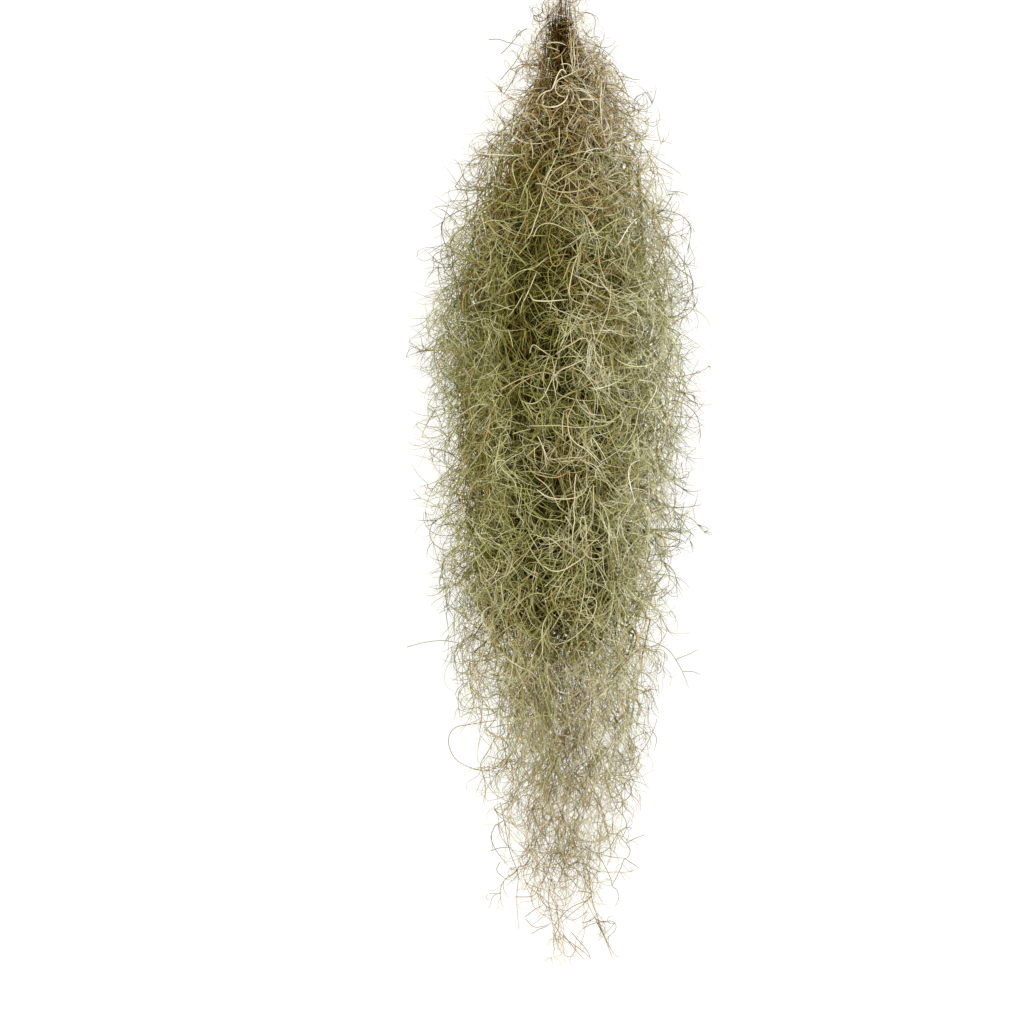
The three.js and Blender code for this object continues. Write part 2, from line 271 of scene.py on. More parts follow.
FRONT_LIVING = [
    (0.80, [(-35, 187), (-43, 188), (-47, 194), (-46, 204), (-41, 218)]),
    (0.80, [(-8, 177), (-19, 189), (-28, 204), (-34, 217), (-40, 234)]),
    (0.70, [(-11, 234), (-6, 233), (-3, 226), (-1, 216)]),
    (0.70, [(-59, 232), (-51, 234), (-44, 238), (-37, 242), (-29, 240), (-21, 236), (-14, 235)]),
    (0.85, [(28, 272), (38, 263), (49, 254), (63, 247)]),
    (0.80, [(44, 231), (54, 224), (63, 216), (71, 210), (80, 207)]),
    (0.75, [(54, 224), (65, 229), (78, 236)]),
    (0.60, [(-11, 160), (-6, 167), (-2, 175), (1, 184)]),
    (0.60, [(-9, 159), (-3, 168), (1, 177)]),
    (0.65, [(13, 237), (15, 249), (12, 260)]),
    (0.70, [(-59, 173), (-49, 177), (-43, 184), (-35, 188)]),
    (0.70, [(-33, 217), (-31, 232), (-33, 245)]),
    (0.75, [(-59, 317), (-49, 309), (-41, 303), (-33, 300), (-24, 301), (-18, 307)]),
    (0.70, [(-59, 326), (-49, 324), (-39, 320), (-29, 317)]),
    (0.65, [(-6, 282), (3, 279), (13, 277)]),
    (0.80, [(37, 271), (38, 283), (39, 295), (43, 307), (48, 318)]),
    (0.80, [(81, 271), (73, 281), (67, 289), (65, 299), (69, 312)]),
    (0.75, [(47, 290), (55, 295), (63, 302), (71, 306), (82, 308)]),
    (0.75, [(45, 299), (53, 292), (64, 288)]),
    (0.75, [(-6, 377), (-2, 367), (2, 355), (6, 344)]),
    (0.85, [(63, 350), (68, 344), (74, 341), (78, 345), (82, 356)]),
    (0.75, [(49, 345), (59, 346), (67, 352), (76, 356)]),
    (0.80, [(-51, 359), (-48, 367), (-46, 378)]),
    (0.75, [(-40, 285), (-35, 278), (-29, 273)]),
    (0.75, [(-50, 276), (-44, 284), (-38, 290), (-32, 297)]),
    (0.70, [(-60, 305), (-53, 295), (-48, 286)]),
    (0.80, [(49, 382), (51, 395), (54, 409), (58, 422), (62, 431)]),
    (0.85, [(-31, 454), (-14, 454), (1, 454), (16, 456), (31, 455), (45, 454)]),
    (0.55, [(-36, 422), (-29, 425), (-21, 429), (-17, 435), (-17, 445), (-21, 453)]),
    (0.80, [(44, 455), (50, 449), (57, 446), (63, 437), (69, 430)]),
    (0.80, [(46, 455), (51, 467), (56, 479), (62, 490)]),
    (0.75, [(46, 454), (43, 442), (39, 431)]),
    (0.70, [(-60, 477), (-54, 469), (-51, 460)]),
    (0.80, [(-47, 462), (-37, 459), (-28, 457)]),
    (0.70, [(74, 424), (79, 428), (82, 437)]),
    (0.75, [(71, 458), (74, 472), (69, 483), (67, 496)]),
    (0.70, [(-31, 396), (-21, 390), (-12, 384)]),
    (0.65, [(-51, 396), (-44, 392), (-38, 389)]),
    (0.70, [(-59, 511), (-49, 513), (-39, 515), (-29, 516), (-20, 520)]),
    (0.75, [(-34, 537), (-24, 543), (-14, 546), (-1, 546), (10, 550)]),
    (0.80, [(30, 584), (38, 590), (44, 599), (50, 608)]),
    (0.80, [(40, 506), (51, 513), (58, 520), (63, 530)]),
    (0.75, [(39, 507), (42, 501), (47, 497), (52, 504)]),
    (0.80, [(50, 548), (59, 539), (66, 532), (74, 525)]),
    (0.70, [(41, 545), (51, 539), (62, 535)]),
    (0.90, [(50, 556), (55, 562), (57, 572), (58, 583), (60, 595)]),
    (0.70, [(34, 534), (39, 543), (44, 552)]),
    (0.65, [(-57, 536), (-49, 542), (-45, 552), (-42, 568)]),
    (0.65, [(-52, 513), (-55, 527), (-53, 538)]),
    (0.85, [(4, 626), (3, 637), (-2, 645), (-10, 658)]),
    (0.75, [(-12, 640), (-5, 634), (2, 631)]),
    (0.65, [(-24, 649), (-31, 657), (-38, 668)]),
    (0.65, [(-34, 681), (-38, 690), (-41, 700)]),
    (0.65, [(-19, 695), (-18, 712), (-14, 727), (-10, 742), (-8, 759)]),
    (0.60, [(-23, 699), (-21, 715), (-16, 729), (-13, 747)]),
    (0.65, [(-14, 689), (-13, 707), (-9, 724), (-6, 741), (-3, 762)]),
    (0.60, [(-8, 732), (-6, 747), (-7, 765), (-3, 782)]),
    (0.70, [(4, 716), (7, 727), (8, 739), (7, 753)]),
    (0.60, [(-10, 767), (-6, 782), (-9, 797), (-5, 817)]),
    (0.60, [(-1, 762), (-3, 779), (1, 795), (-2, 812)]),
    (0.55, [(-14, 772), (-11, 789), (-14, 807)]),
    (0.35, [(76, 662), (93, 667), (109, 675), (118, 687), (125, 699), (132, 717)]),
    (0.30, [(118, 687), (131, 682), (141, 677)]),
    (0.30, [(125, 699), (136, 699), (144, 703)]),
    (0.35, [(-154, 675), (-134, 669), (-109, 667), (-87, 673)]),
    (0.55, [(1, 855), (6, 872), (7, 885), (1, 897), (-4, 909)]),
    (0.55, [(-3, 859), (3, 875), (2, 889), (-3, 901)]),
    (0.50, [(-9, 833), (-7, 847), (-3, 863), (3, 877)]),
]

STEM_RADIUS = 0.48 * MM
SHOOT_RADIUS = (0.36 * MM, 0.60 * MM)
LEAF_RADIUS = (0.20 * MM, 0.38 * MM)
MATTED_RADIUS = (0.8 * MM, 1.3 * MM)
FORK_LENGTH = (110 * MM, 330 * MM)
SHOOT_LENGTH = (45 * MM, 130 * MM)
LEAF_LENGTH = (22 * MM, 62 * MM)
MATTED_LENGTH = (90 * MM, 190 * MM)
NODE_SPACING = (22 * MM, 40 * MM)
FLOOR_GAP = 0.9 * MM  # the least height of a strand's middle over the floor
FLYAWAY = 24 * MM  # how far a stray strand stands out of the outline
SIDE_LIMIT = 153 * MM  # how far strands go to the left and the right
NECK_LIMIT = 26 * MM  # how far they go past the cut ends
HEIGHT_LIMIT = 146 * MM
# The space that strands keep to, as (axis, low, high).
SPACE = [
    (0, -SIDE_LIMIT, SIDE_LIMIT),
    (1, NECK_Y - BUNCH_LENGTH, NECK_Y + NECK_LIMIT),
    (2, 0, HEIGHT_LIMIT),
]

# The map that colours the strands: u runs along a strand, v is its kind and tone.
UV_NAME = "OFBake"
FULL_U = (0.02, 0.98)
MATTED_U = (0.3, 0.9)
FRONT_U = (0.2, 0.98)
STEM_BAND = (0.02, 0.26)
LIVING_BAND = (0.32, 0.63)
DRY_BAND = (0.67, 0.98)
BAND_WIDTH = 0.010  # of v, across one strand
SHADED_HAIR_V = 0.295  # the hairs that stand out of the bunch, with a darker grey of painted shade


def unit(vectors):
    """The same vectors, each of length 1."""
    return vectors / np.maximum(np.linalg.norm(vectors, axis=-1, keepdims=True), 1e-12)


def directions(rng, count):
    """Evenly spread random directions."""
    return unit(rng.normal(size=(count, 3)))


# ---------------------------------------------------------------- the room

VIEW_CENTRE = (-0.047, -0.042, 0.07)
VIEW_WIDTH = 1.024
CAMERA_DISTANCE = 3.0
DAYLIGHT = (1.0, 0.985, 0.95)


def make_camera():
    """Looks straight down, with the neck at the top and a little of it past the edge of the view."""
    data = bpy.data.cameras.new("camera")
    data.lens = data.sensor_width * CAMERA_DISTANCE / VIEW_WIDTH
    camera = bpy.data.objects.new("camera", data)
    x, y, z = VIEW_CENTRE
    camera.location = (x, y, z + CAMERA_DISTANCE)
    bpy.context.scene.collection.objects.link(camera)
    bpy.context.scene.camera = camera


def make_light(name, place, size, watts, colour):
    """A square lamp that points at the middle of the bunch."""
    data = bpy.data.lights.new(name, "AREA")
    data.size = size
    data.energy = watts
    data.color = colour
    light = bpy.data.objects.new(name, data)
    light.location = place
    aim = -light.location
    light.rotation_euler = aim.to_track_quat("-Z", "Y").to_euler()
    bpy.context.scene.collection.objects.link(light)


def make_room():
    """Soft daylight, two lamps and a pale paper floor that glows a little, so it has no dark edges."""
    world = bpy.data.worlds.new("studio")
    world.use_nodes = True
    world.node_tree.nodes["Background"].inputs["Color"].default_value = (*DAYLIGHT, 1)
    world.node_tree.nodes["Background"].inputs["Strength"].default_value = 0.85
    bpy.context.scene.world = world
    bpy.context.scene.view_settings.view_transform = "Standard"
    make_light("key", (0.8, 0.6, 2.7), 0.9, 78, DAYLIGHT)
    make_light("fill", (-1.4, -0.4, 2.1), 1.6, 22, (1.0, 1.0, 0.98))

    sheet = bmesh.new()
    bmesh.ops.create_grid(sheet, x_segments=1, y_segments=1, size=20)
    mesh = bpy.data.meshes.new("floor")
    sheet.to_mesh(mesh)
    sheet.free()
    floor = bpy.data.objects.new("floor", mesh)
    bpy.context.scene.collection.objects.link(floor)
    paper = bpy.data.materials.new("white_paper")
    paper.use_nodes = True
    skin = paper.node_tree.nodes["Principled BSDF"]
    skin.inputs["Base Color"].default_value = (0.08, 0.079, 0.077, 1)
    skin.inputs["Roughness"].default_value = 0.9
    skin.inputs["Emission Color"].default_value = (1.0, 0.988, 0.955, 1)
    skin.inputs["Emission Strength"].default_value = 0.93
    floor.data.materials.append(paper)


# ---------------------------------------------------------------- finishes

def socket(group, name, side, kind, value=None):
    """Gives a node group an input or an output."""
    made = group.interface.new_socket(name, in_out=side, socket_type=kind)
    if value is not None:
        made.default_value = value


def add_node(nodes, kind, values=None, **settings):
    """A new shader node with these settings, and with these values on its sockets."""
    node = nodes.new("ShaderNode" + kind)
    for name, setting in settings.items():
        setattr(node, name, setting)
    for name, value in (values or {}).items():
        node.inputs[name].default_value = value
    return node


def silver_scales():
    """Node group: the fine silvery scales that dust a strand, as a colour, a roughness and a height."""
    group = bpy.data.node_groups.new("silver_scales", "ShaderNodeTree")
    socket(group, "Strand Color", "INPUT", "NodeSocketColor", (0.3, 0.3, 0.1, 1))
    socket(group, "Scale Color", "INPUT", "NodeSocketColor", (0.6, 0.6, 0.5, 1))
    socket(group, "Amount", "INPUT", "NodeSocketFloat", 0.3)
    socket(group, "Grain Along", "INPUT", "NodeSocketFloat", 60.0)
    socket(group, "Grain Across", "INPUT", "NodeSocketFloat", 300.0)
    socket(group, "Color", "OUTPUT", "NodeSocketColor")
    socket(group, "Roughness", "OUTPUT", "NodeSocketFloat")
    socket(group, "Height", "OUTPUT", "NodeSocketFloat")
    nodes, link = group.nodes, group.links.new
    given = nodes.new("NodeGroupInput")
    put = nodes.new("NodeGroupOutput")

    uv = add_node(nodes, "UVMap", uv_map=UV_NAME)
    grain = add_node(nodes, "CombineXYZ")
    place = add_node(nodes, "VectorMath", operation="MULTIPLY")
    noise = add_node(nodes, "TexNoise", {"Scale": 1.0, "Detail": 3.0})
    mask = add_node(nodes, "MapRange", {"From Min": 0.42, "From Max": 0.64})
    link(given.outputs["Grain Along"], grain.inputs["X"])
    link(given.outputs["Grain Across"], grain.inputs["Y"])
    link(uv.outputs["UV"], place.inputs[0])
    link(grain.outputs["Vector"], place.inputs[1])
    link(place.outputs["Vector"], noise.inputs["Vector"])
    link(noise.outputs["Fac"], mask.inputs["Value"])

    share = add_node(nodes, "Math", operation="MULTIPLY")
    mix = add_node(nodes, "Mix", data_type="RGBA", blend_type="MULTIPLY")
    rough = add_node(nodes, "MapRange", {"To Min": 0.62, "To Max": 0.92})
    link(mask.outputs["Result"], share.inputs[0])
    link(given.outputs["Amount"], share.inputs[1])
    link(share.outputs["Value"], mix.inputs["Factor"])
    link(given.outputs["Strand Color"], mix.inputs["A"])
    link(given.outputs["Scale Color"], mix.inputs["B"])
    link(mask.outputs["Result"], rough.inputs["Value"])
    link(mix.outputs["Result"], put.inputs["Color"])
    link(rough.outputs["Result"], put.inputs["Roughness"])
    link(mask.outputs["Result"], put.inputs["Height"])


def srgb(red, green, blue):
    """A colour given as on a screen, 0 to 255, as the light it stands for."""
    def light(value):
        value /= 255
        return value / 12.92 if value <= 0.04045 else ((value + 0.055) / 1.055) ** 2.4
    return (light(red), light(green), light(blue), 1)


def ramp(nodes, stops):
    """A colour ramp node from (place, colour) pairs."""
    node = add_node(nodes, "ValToRGB")
    marks = node.color_ramp.elements
    while len(marks) < len(stops):
        marks.new(0.5)
    for mark, (place, colour) in zip(marks, stops):
        mark.position = place
        mark.color = colour
    return node


# Painted shade: a darker grey for the hairs that stand out of the bunch, so they look dark against the
# pale floor.
SHADED_HAIR_TONE = srgb(104, 100, 76)
# Tones from shaded to sunlit strands.
LIVING_TONES = [
    srgb(36, 34, 6), srgb(95, 91, 38), srgb(148, 146, 82), srgb(194, 193, 146), srgb(222, 220, 194),
]
DRY_TONES = [
    srgb(36, 22, 3), srgb(98, 75, 29), srgb(157, 133, 77), srgb(200, 190, 152), srgb(228, 222, 201),
]
# By u, from the cut ends to the tail. The dark stretch from 0.06 to 0.11 is partly the stems' brown and
# partly painted shade in the core of the neck.
STEM_TONES = [
    (0.02, srgb(205, 182, 144)),
    (0.045, srgb(172, 144, 102)),
    (0.060, srgb(82, 56, 20)),
    (0.11, srgb(104, 78, 32)),
    (0.16, srgb(118, 96, 44)),
    (0.30, srgb(118, 110, 52)),
    (0.60, srgb(150, 142, 80)),
    (0.80, srgb(178, 163, 120)),
    (1.00, srgb(170, 154, 124)),
]
# By u: a leaf is darker at its base and greyer at its tip than its tone.
LEAF_SHADES = [
    (0.0, (0.6, 0.6, 0.5, 1)),
    (0.2, (0.92, 0.92, 0.9, 1)),
    (0.65, (1, 1, 1, 1)),
    (1.0, (0.94, 0.94, 1.15, 1)),
]
STEM_LIGHT = {"To Min": 0.25, "To Max": 1.25}  # from the stems in the shade to those in the light
TAIL = {"From Min": 0.66, "From Max": 0.84}  # the u where the stems come out into the tail
TAIL_LIGHT = 0.95
SCALE_LIGHT = (1.5, 1.5, 1.8, 1)
SCALE_HEIGHT = 0.1 * MM


def leaf_colour(nodes, link, along, kind):
    """The socket with a leaf's colour, from the tone of its kind and the place along it."""
    stops = [(SHADED_HAIR_V + BAND_WIDTH, SHADED_HAIR_TONE)]
    for band, tones in ((LIVING_BAND, LIVING_TONES), (DRY_BAND, DRY_TONES)):
        stops += list(zip(np.linspace(*band, len(tones)), tones))
    tone = ramp(nodes, stops)
    shade = ramp(nodes, LEAF_SHADES)
    mix = add_node(nodes, "Mix", {"Factor": 1.0}, data_type="RGBA", blend_type="MULTIPLY")
    link(kind, tone.inputs["Fac"])
    link(along, shade.inputs["Fac"])
    link(tone.outputs["Color"], mix.inputs["A"])
    link(shade.outputs["Color"], mix.inputs["B"])
    return mix.outputs["Result"]


def stem_colour(nodes, link, along, kind):
    """The socket with a stem's colour, from its place along the bunch and how much light it gets."""
    tone = ramp(nodes, STEM_TONES)
    low, high = STEM_BAND
    light = add_node(nodes, "MapRange", {"From Min": low, "From Max": high, **STEM_LIGHT})
    in_tail = add_node(nodes, "MapRange", TAIL)
    lit = add_node(nodes, "Mix", {"B": TAIL_LIGHT})
    shaded = add_node(nodes, "VectorMath", operation="SCALE")
    link(along, tone.inputs["Fac"])
    link(kind, light.inputs["Value"])
    link(along, in_tail.inputs["Value"])
    link(in_tail.outputs["Result"], lit.inputs["Factor"])
    link(light.outputs["Result"], lit.inputs["A"])
    link(tone.outputs["Color"], shaded.inputs[0])
    link(lit.outputs["Result"], shaded.inputs["Scale"])
    return shaded.outputs["Vector"]


def moss_material(name, amount, relief):
    """A strand's finish. Its colour comes from the strand's kind and tone and from the place along it."""
    material = bpy.data.materials.new(name)
    material.use_nodes = True
    nodes, link = material.node_tree.nodes, material.node_tree.links.new
    skin = nodes["Principled BSDF"]
    skin.inputs["Specular IOR Level"].default_value = 0.0
    uv = add_node(nodes, "UVMap", uv_map=UV_NAME)
    parts = add_node(nodes, "SeparateXYZ")
    link(uv.outputs["UV"], parts.inputs["Vector"])
    along, kind = parts.outputs["X"], parts.outputs["Y"]

    is_leaf = add_node(nodes, "Math", operation="GREATER_THAN")
    is_leaf.inputs[1].default_value = (STEM_BAND[1] + SHADED_HAIR_V) / 2
    strand = add_node(nodes, "Mix", data_type="RGBA")
    link(kind, is_leaf.inputs[0])
    link(is_leaf.outputs["Value"], strand.inputs["Factor"])
    link(stem_colour(nodes, link, along, kind), strand.inputs["A"])
    link(leaf_colour(nodes, link, along, kind), strand.inputs["B"])

    scales = add_node(nodes, "Group", node_tree=bpy.data.node_groups["silver_scales"])
    scales.inputs["Scale Color"].default_value = SCALE_LIGHT
    scales.inputs["Amount"].default_value = amount
    bump = add_node(nodes, "Bump", {"Strength": relief, "Distance": SCALE_HEIGHT})
    link(strand.outputs["Result"], scales.inputs["Strand Color"])
    link(scales.outputs["Height"], bump.inputs["Height"])
    link(scales.outputs["Color"], skin.inputs["Base Color"])
    link(scales.outputs["Roughness"], skin.inputs["Roughness"])
    link(bump.outputs["Normal"], skin.inputs["Normal"])
    return material


# ---------------------------------------------------------------- the space that the bunch fills

TABLE_STEP = 5 * MM  # between the rows of a festoon's table
TABLE_BLUR = 9  # rows to each side that round its corners
BUNCH_STATIONS = 101  # along the whole bunch
BUNCH_BLUR = 3
NECK_OVERLAP = 15 * MM  # how far before its own start a festoon still counts for the bunch's size
LEAST_TOP = 14 * MM
LEAST_HALF_WIDTH = 12 * MM
MIDDLE_HEIGHT = 0.47  # of the bunch's middle line, as a share of its height
HALF_HEIGHT = 0.55  # so the loose strands stand a little over the solids
FRONT_HEIGHT = 0.8  # as a share of the middle line's height: what lies higher is the front
CLUMP_WAVES = 6
CLUMP_PITCH = (0.6, 1.5)  # how fast those waves go up and down, against the wavelength asked for
CLUMP_SWELL = 2.4  # about the highest sum of the waves


def running_mean(values, reach, **padding):
    """Each value averaged with its neighbours, as many to each side as the reach."""
    kernel = np.ones(2 * reach + 1) / (2 * reach + 1)
    return np.convolve(np.pad(values, reach, **padding), kernel, mode="valid")


def cross_sections(node):
    """A festoon's sections, read from its solid, at even steps and with its corners rounded.

    Columns: distance from the cut ends, middle x, middle z, half width, half height.
    """
    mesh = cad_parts[node].data
    places = np.empty(len(mesh.vertices) * 3, np.float32)
    mesh.vertices.foreach_get("co", places)
    places = places.reshape(-1, 3).astype(float)
    stations = np.round(places[:, 1], 4)
    rows = []
    for y in np.unique(stations)[::-1]:
        low, high = places[stations == y].min(0), places[stations == y].max(0)
        middle, half = (low + high) / 2, (high - low) / 2
        rows.append((NECK_Y - y, middle[0], middle[2], half[0], half[2]))
    rows = np.array(rows)
    distance = np.arange(rows[0, 0], rows[-1, 0] + TABLE_STEP, TABLE_STEP)
    columns = [distance]
    for values in rows.T[1:]:
        even = np.interp(distance, rows[:, 0], values)
        columns.append(running_mean(even, TABLE_BLUR, mode="reflect", reflect_type="odd"))
    return np.stack(columns, 1)


def look_up(table, distance):
    """The table's other columns at these distances."""
    return np.stack([np.interp(distance, table[:, 0], column) for column in table.T[1:]], -1)


def whole_bunch(festoons):
    """The bunch's loose outline, and how its stems keep to the middle of it, by the distance.

    A stem that lies in a festoon's solid goes as far from the stems' middle as it is from the
    solids' middle, times the squeeze.
    """
    distance = np.linspace(0, BUNCH_LENGTH, BUNCH_STATIONS)
    edges = np.array(OUTLINE) * MM
    left, right, stem_width = (np.interp(distance, edges[:, 0], edges[:, i]) for i in (1, 2, 3))
    tops, lows, highs = np.zeros((3, BUNCH_STATIONS))
    for table in festoons.values():
        inside = (distance >= table[0, 0] - NECK_OVERLAP) & (distance <= table[-1, 0])
        x, z, half_x, half_z = look_up(table, distance).T
        tops = np.maximum(tops, np.where(inside, z + half_z, 0))
        lows = np.minimum(lows, np.where(inside, x - half_x, 0))
        highs = np.maximum(highs, np.where(inside, x + half_x, 0))
    tops = running_mean(np.maximum(tops, LEAST_TOP), BUNCH_BLUR, mode="edge")
    squeeze = stem_width / np.maximum((highs - lows) / 2, LEAST_HALF_WIDTH)
    line = np.array(STEM_LINE) * MM
    return {
        "distance": distance,
        "middle_x": (left + right) / 2,
        "half_width": (right - left) / 2,
        "middle_z": tops * MIDDLE_HEIGHT,
        "half_height": tops * HALF_HEIGHT,
        "solid_x": (lows + highs) / 2,
        "squeeze": running_mean(squeeze, BUNCH_BLUR, mode="edge"),
        "stem_x": np.interp(distance, line[:, 0], line[:, 1]),
        "stem_width": stem_width,
    }


def of_bunch(distance, *names):
    """The bunch's values of these names, at these distances from the cut ends."""
    return [np.interp(distance, bunch["distance"], bunch[name]) for name in names]


def across_bunch(places):
    """How far each place is to the right of the middle line, as a share of the half width."""
    middle_x, half_width = of_bunch(NECK_Y - places[..., 1], "middle_x", "half_width")
    return (places[..., 0] - middle_x) / half_width


def depth_in(places):
    """How far out each place is, 0 on the middle line and 1 on the outline, and which way is out."""
    half_width, middle_z, half_height = of_bunch(
        NECK_Y - places[..., 1], "half_width", "middle_z", "half_height"
    )
    across = across_bunch(places)
    up = (places[..., 2] - middle_z) / half_height
    outward = np.stack([across / half_width, np.zeros_like(across), up / half_height], -1)
    return np.hypot(across, up), unit(outward)


def in_cleft(places):
    """How near each place is to the cleft down the front, times how deep that is."""
    distance = NECK_Y - places[..., 1]
    middle, deep = look_up(np.array(CLEFT) * [MM, MM, 1], distance).T
    (middle_z,) = of_bunch(distance, "middle_z")
    on_front = places[..., 2] > middle_z * FRONT_HEIGHT
    return np.exp(-(((places[..., 0] - middle) / CLEFT_WIDTH) ** 2)) * deep * on_front


def clumps(places, wavelength, seed, lengthwise=1):
    """Smooth noise of about -1 to 1 over space, for where strands bunch together and change tone.

    The lengthwise share says how fast it changes along the bunch, against how fast across it.
    """
    rng = np.random.default_rng(seed)
    ways, phases = directions(rng, CLUMP_WAVES), rng.uniform(0, 2 * math.pi, CLUMP_WAVES)
    total = 0
    for way, phase in zip(ways, phases):
        travelled = places * [1, lengthwise, 1] @ way
        pitch = rng.uniform(*CLUMP_PITCH)
        total = total + np.sin(travelled * (2 * math.pi / wavelength) * pitch + phase)
    return total / CLUMP_SWELL


def gathered(x, distance):
    """Where a festoon's stems lie sideways: closer to the bunch's middle than its solid does."""
    stem_x, solid_x, squeeze = of_bunch(distance, "stem_x", "solid_x", "squeeze")
    return stem_x + (x - solid_x) * squeeze


def pulled_in(places, reach):
    """Brings stray places back inside the outline."""
    depth, _ = depth_in(places)
    middle_x, middle_z = of_bunch(NECK_Y - places[..., 1], "middle_x", "middle_z")
    middle = np.stack([middle_x, places[..., 1], middle_z], -1)
    pull = np.minimum(1, reach / np.maximum(depth, 1e-6))[..., None]
    return middle + (places - middle) * pull


def above_floor(places):
    """Lifts places that are too low for a strand to lie on the floor."""
    places[..., 2] = np.maximum(places[..., 2], FLOOR_GAP)
    return places


# ---------------------------------------------------------------- stems
#
# From here on, a name with two lists says how something changes: the values in the second list
# belong to the places in the first, which are distances from the cut ends unless a comment says else.

CUT_ENDS = 30 * MM  # stems that begin within this are cut, and the others fork off
CUT_STAGGER = 12 * MM  # how much later than its festoon a stem begins, at most
STEM_REACH = 0.95  # the depth, from 0 to 1, that stems keep to before they sway
SWAYING_REACH = 0.98  # and after it
REACH_SPREAD = (0.85, 1.0)
STEM_PAST_END = (-70, 30)  # millimetres by which a stem goes past its festoon's last section
FORK_PAST_END = 40 * MM  # the same of a stem that forks off, at most
FIRST_FORK = 70 * MM  # from the festoon's start to where one may fork off
LEAST_FORK_INSIDE = 0.4  # of its length, before the festoon's end
LAST_STEM = 0.985  # where the last ones end
LAST_FORK = 0.992
STEM_STEP = ([0.05, 0.2, 0.7, 0.9], [12, 9, 7, 6])  # millimetres
STEM_SPREAD = ([0, 0.1, 0.3], [0.9, 1.0, 1.5])  # as a share of the festoon's half width
STEM_TWIST = 4  # radians to a metre, to either side
FREE_MIDDLE = 0.02  # of a festoon's section, that stems keep out of
SWAY = ([0, 0.03, 0.07, 0.2, 0.6, 0.8, 1.0], [0.8, 1.2, 2.0, 7.5, 8.5, 8, 7])  # millimetres
SWAY_WAVES = ((0.145, 1.0), (0.083, 0.75), (0.047, 0.5), (0.033, 0.25))  # wavelength, size
WAVE_SPREAD = (0.75, 1.25)
SWAY_BY_AXIS = ((0, 1.0), (1, 0.6), (2, 0.8))

MATTED_NECK = (34 * MM, 58 * MM)  # where the matted stems of the neck begin
MATTED_FROM = 120 * MM  # where those of the body do
MATTED_TO = 0.69
MATTED_REACH = 0.6
MATTED_SPACING = 2.3  # of their points, where other stems have 1
MATTED_SWAY = 2.0
MATTED_HEIGHT = ([0.1, 0.2], [0.9, 0.6])  # as a share of where another stem would lie
MATTED_LIFT = 1 * MM
MATTED_SQUEEZE = 0.96
BLUNTNESS = 0.15  # where a matted stem reaches its full thickness, as a share of its first step


def stem_routes(rng, table, stems, forks):
    """Routes of a festoon's stems, as (points, distances): from the cut ends, and forked off later."""
    first, last = table[0, 0], table[-1, 0]
    spans = []
    for _ in range(stems):
        start = first + rng.uniform(0, CUT_STAGGER)
        spans.append((start, min(last + rng.uniform(*STEM_PAST_END) * MM, LAST_STEM)))
    for _ in range(forks):
        length = rng.uniform(*FORK_LENGTH)
        start = rng.uniform(first + FIRST_FORK, last - LEAST_FORK_INSIDE * length)
        spans.append((start, min(start + length, last + FORK_PAST_END, LAST_FORK)))
    return [wander(rng, table, start, end, STEM_REACH) for start, end in spans]


def matted_routes(rng, table, count, in_neck):
    """Routes of the old stems that lie matted in the dark inside the bunch, the first few in the neck."""
    routes = []
    for i in range(count + in_neck):
        length = rng.uniform(*MATTED_LENGTH)
        start = rng.uniform(*(MATTED_NECK if i < in_neck else (MATTED_FROM, MATTED_TO - length)))
        swaying = 1.0 if i < in_neck else MATTED_SWAY
        end = start + length
        points, distance = wander(rng, table, start, end, MATTED_REACH, MATTED_SPACING, swaying)
        (stem_x,) = of_bunch(distance, "stem_x")
        points[:, 2] = points[:, 2] * np.interp(distance, *MATTED_HEIGHT) + MATTED_LIFT
        points[:, 0] = stem_x + (points[:, 0] - stem_x) * MATTED_SQUEEZE
        # It begins with a blunt, broken end.
        points[1] = points[0] + BLUNTNESS * (points[1] - points[0])
        distance[1] = distance[0] + BLUNTNESS * (distance[1] - distance[0])
        routes.append((above_floor(points), distance))
    return routes


def wander(rng, table, start, end, reach, spacing=1.0, swaying=1.0):
    """One stem's points: it keeps its place in the festoon, but sways, more so the lower it hangs."""
    distance = [start]
    while distance[-1] < end:
        step = np.interp(distance[-1], *STEM_STEP) * MM
        distance.append(distance[-1] + step * spacing)
    distance = np.array(distance)
    middle_x, middle_z, half_x, half_z = look_up(table, distance).T
    out = math.sqrt(rng.uniform(FREE_MIDDLE, 1)) * np.interp(distance, *STEM_SPREAD)
    angle = rng.uniform(0, 2 * math.pi) + rng.uniform(-STEM_TWIST, STEM_TWIST) * (distance - start)
    x = gathered(middle_x + half_x * out * np.cos(angle), distance)
    z = middle_z + half_z * out * np.sin(angle)
    places = pulled_in(np.stack([x, NECK_Y - distance, z], -1), reach * rng.uniform(*REACH_SPREAD))
    sway = np.interp(distance, *SWAY) * MM
    for wave, share in SWAY_WAVES:
        wave *= rng.uniform(*WAVE_SPREAD)
        phase = rng.uniform(0, 2 * math.pi, 3)
        turns = 2 * math.pi * distance / wave
        for axis, size in SWAY_BY_AXIS:
            places[:, axis] += swaying * sway * share * size * np.sin(turns + phase[axis])
    return above_floor(pulled_in(places, SWAYING_REACH)), distance


# ---------------------------------------------------------------- shoots and leaves

# How leafy the strands of each ring are, at these distances.
LEAFY_AT = [0.03, 0.06, 0.09, 0.16, 0.6, 0.8, 1.0]
LEAFINESS = {
    "core": [0.1, 0.25, 0.7, 0.8, 0.8, 1.3, 1.2],
    "inner": [0.2, 0.4, 0.8, 0.8, 0.8, 1.2, 1.2],
    "middle": [0.4, 0.7, 1.0, 1.0, 0.95, 1.1, 1.1],
    "outer": [0.7, 1.0, 1.4, 1.15, 0.94, 1, 1],
}
FIRST_NODE = (4, 26)  # millimetres along a strand
FORK_STAGGER = (-2, 2)  # millimetres between the leaves of a node
AHEAD = 5 * MM  # along a strand, to find which way it runs

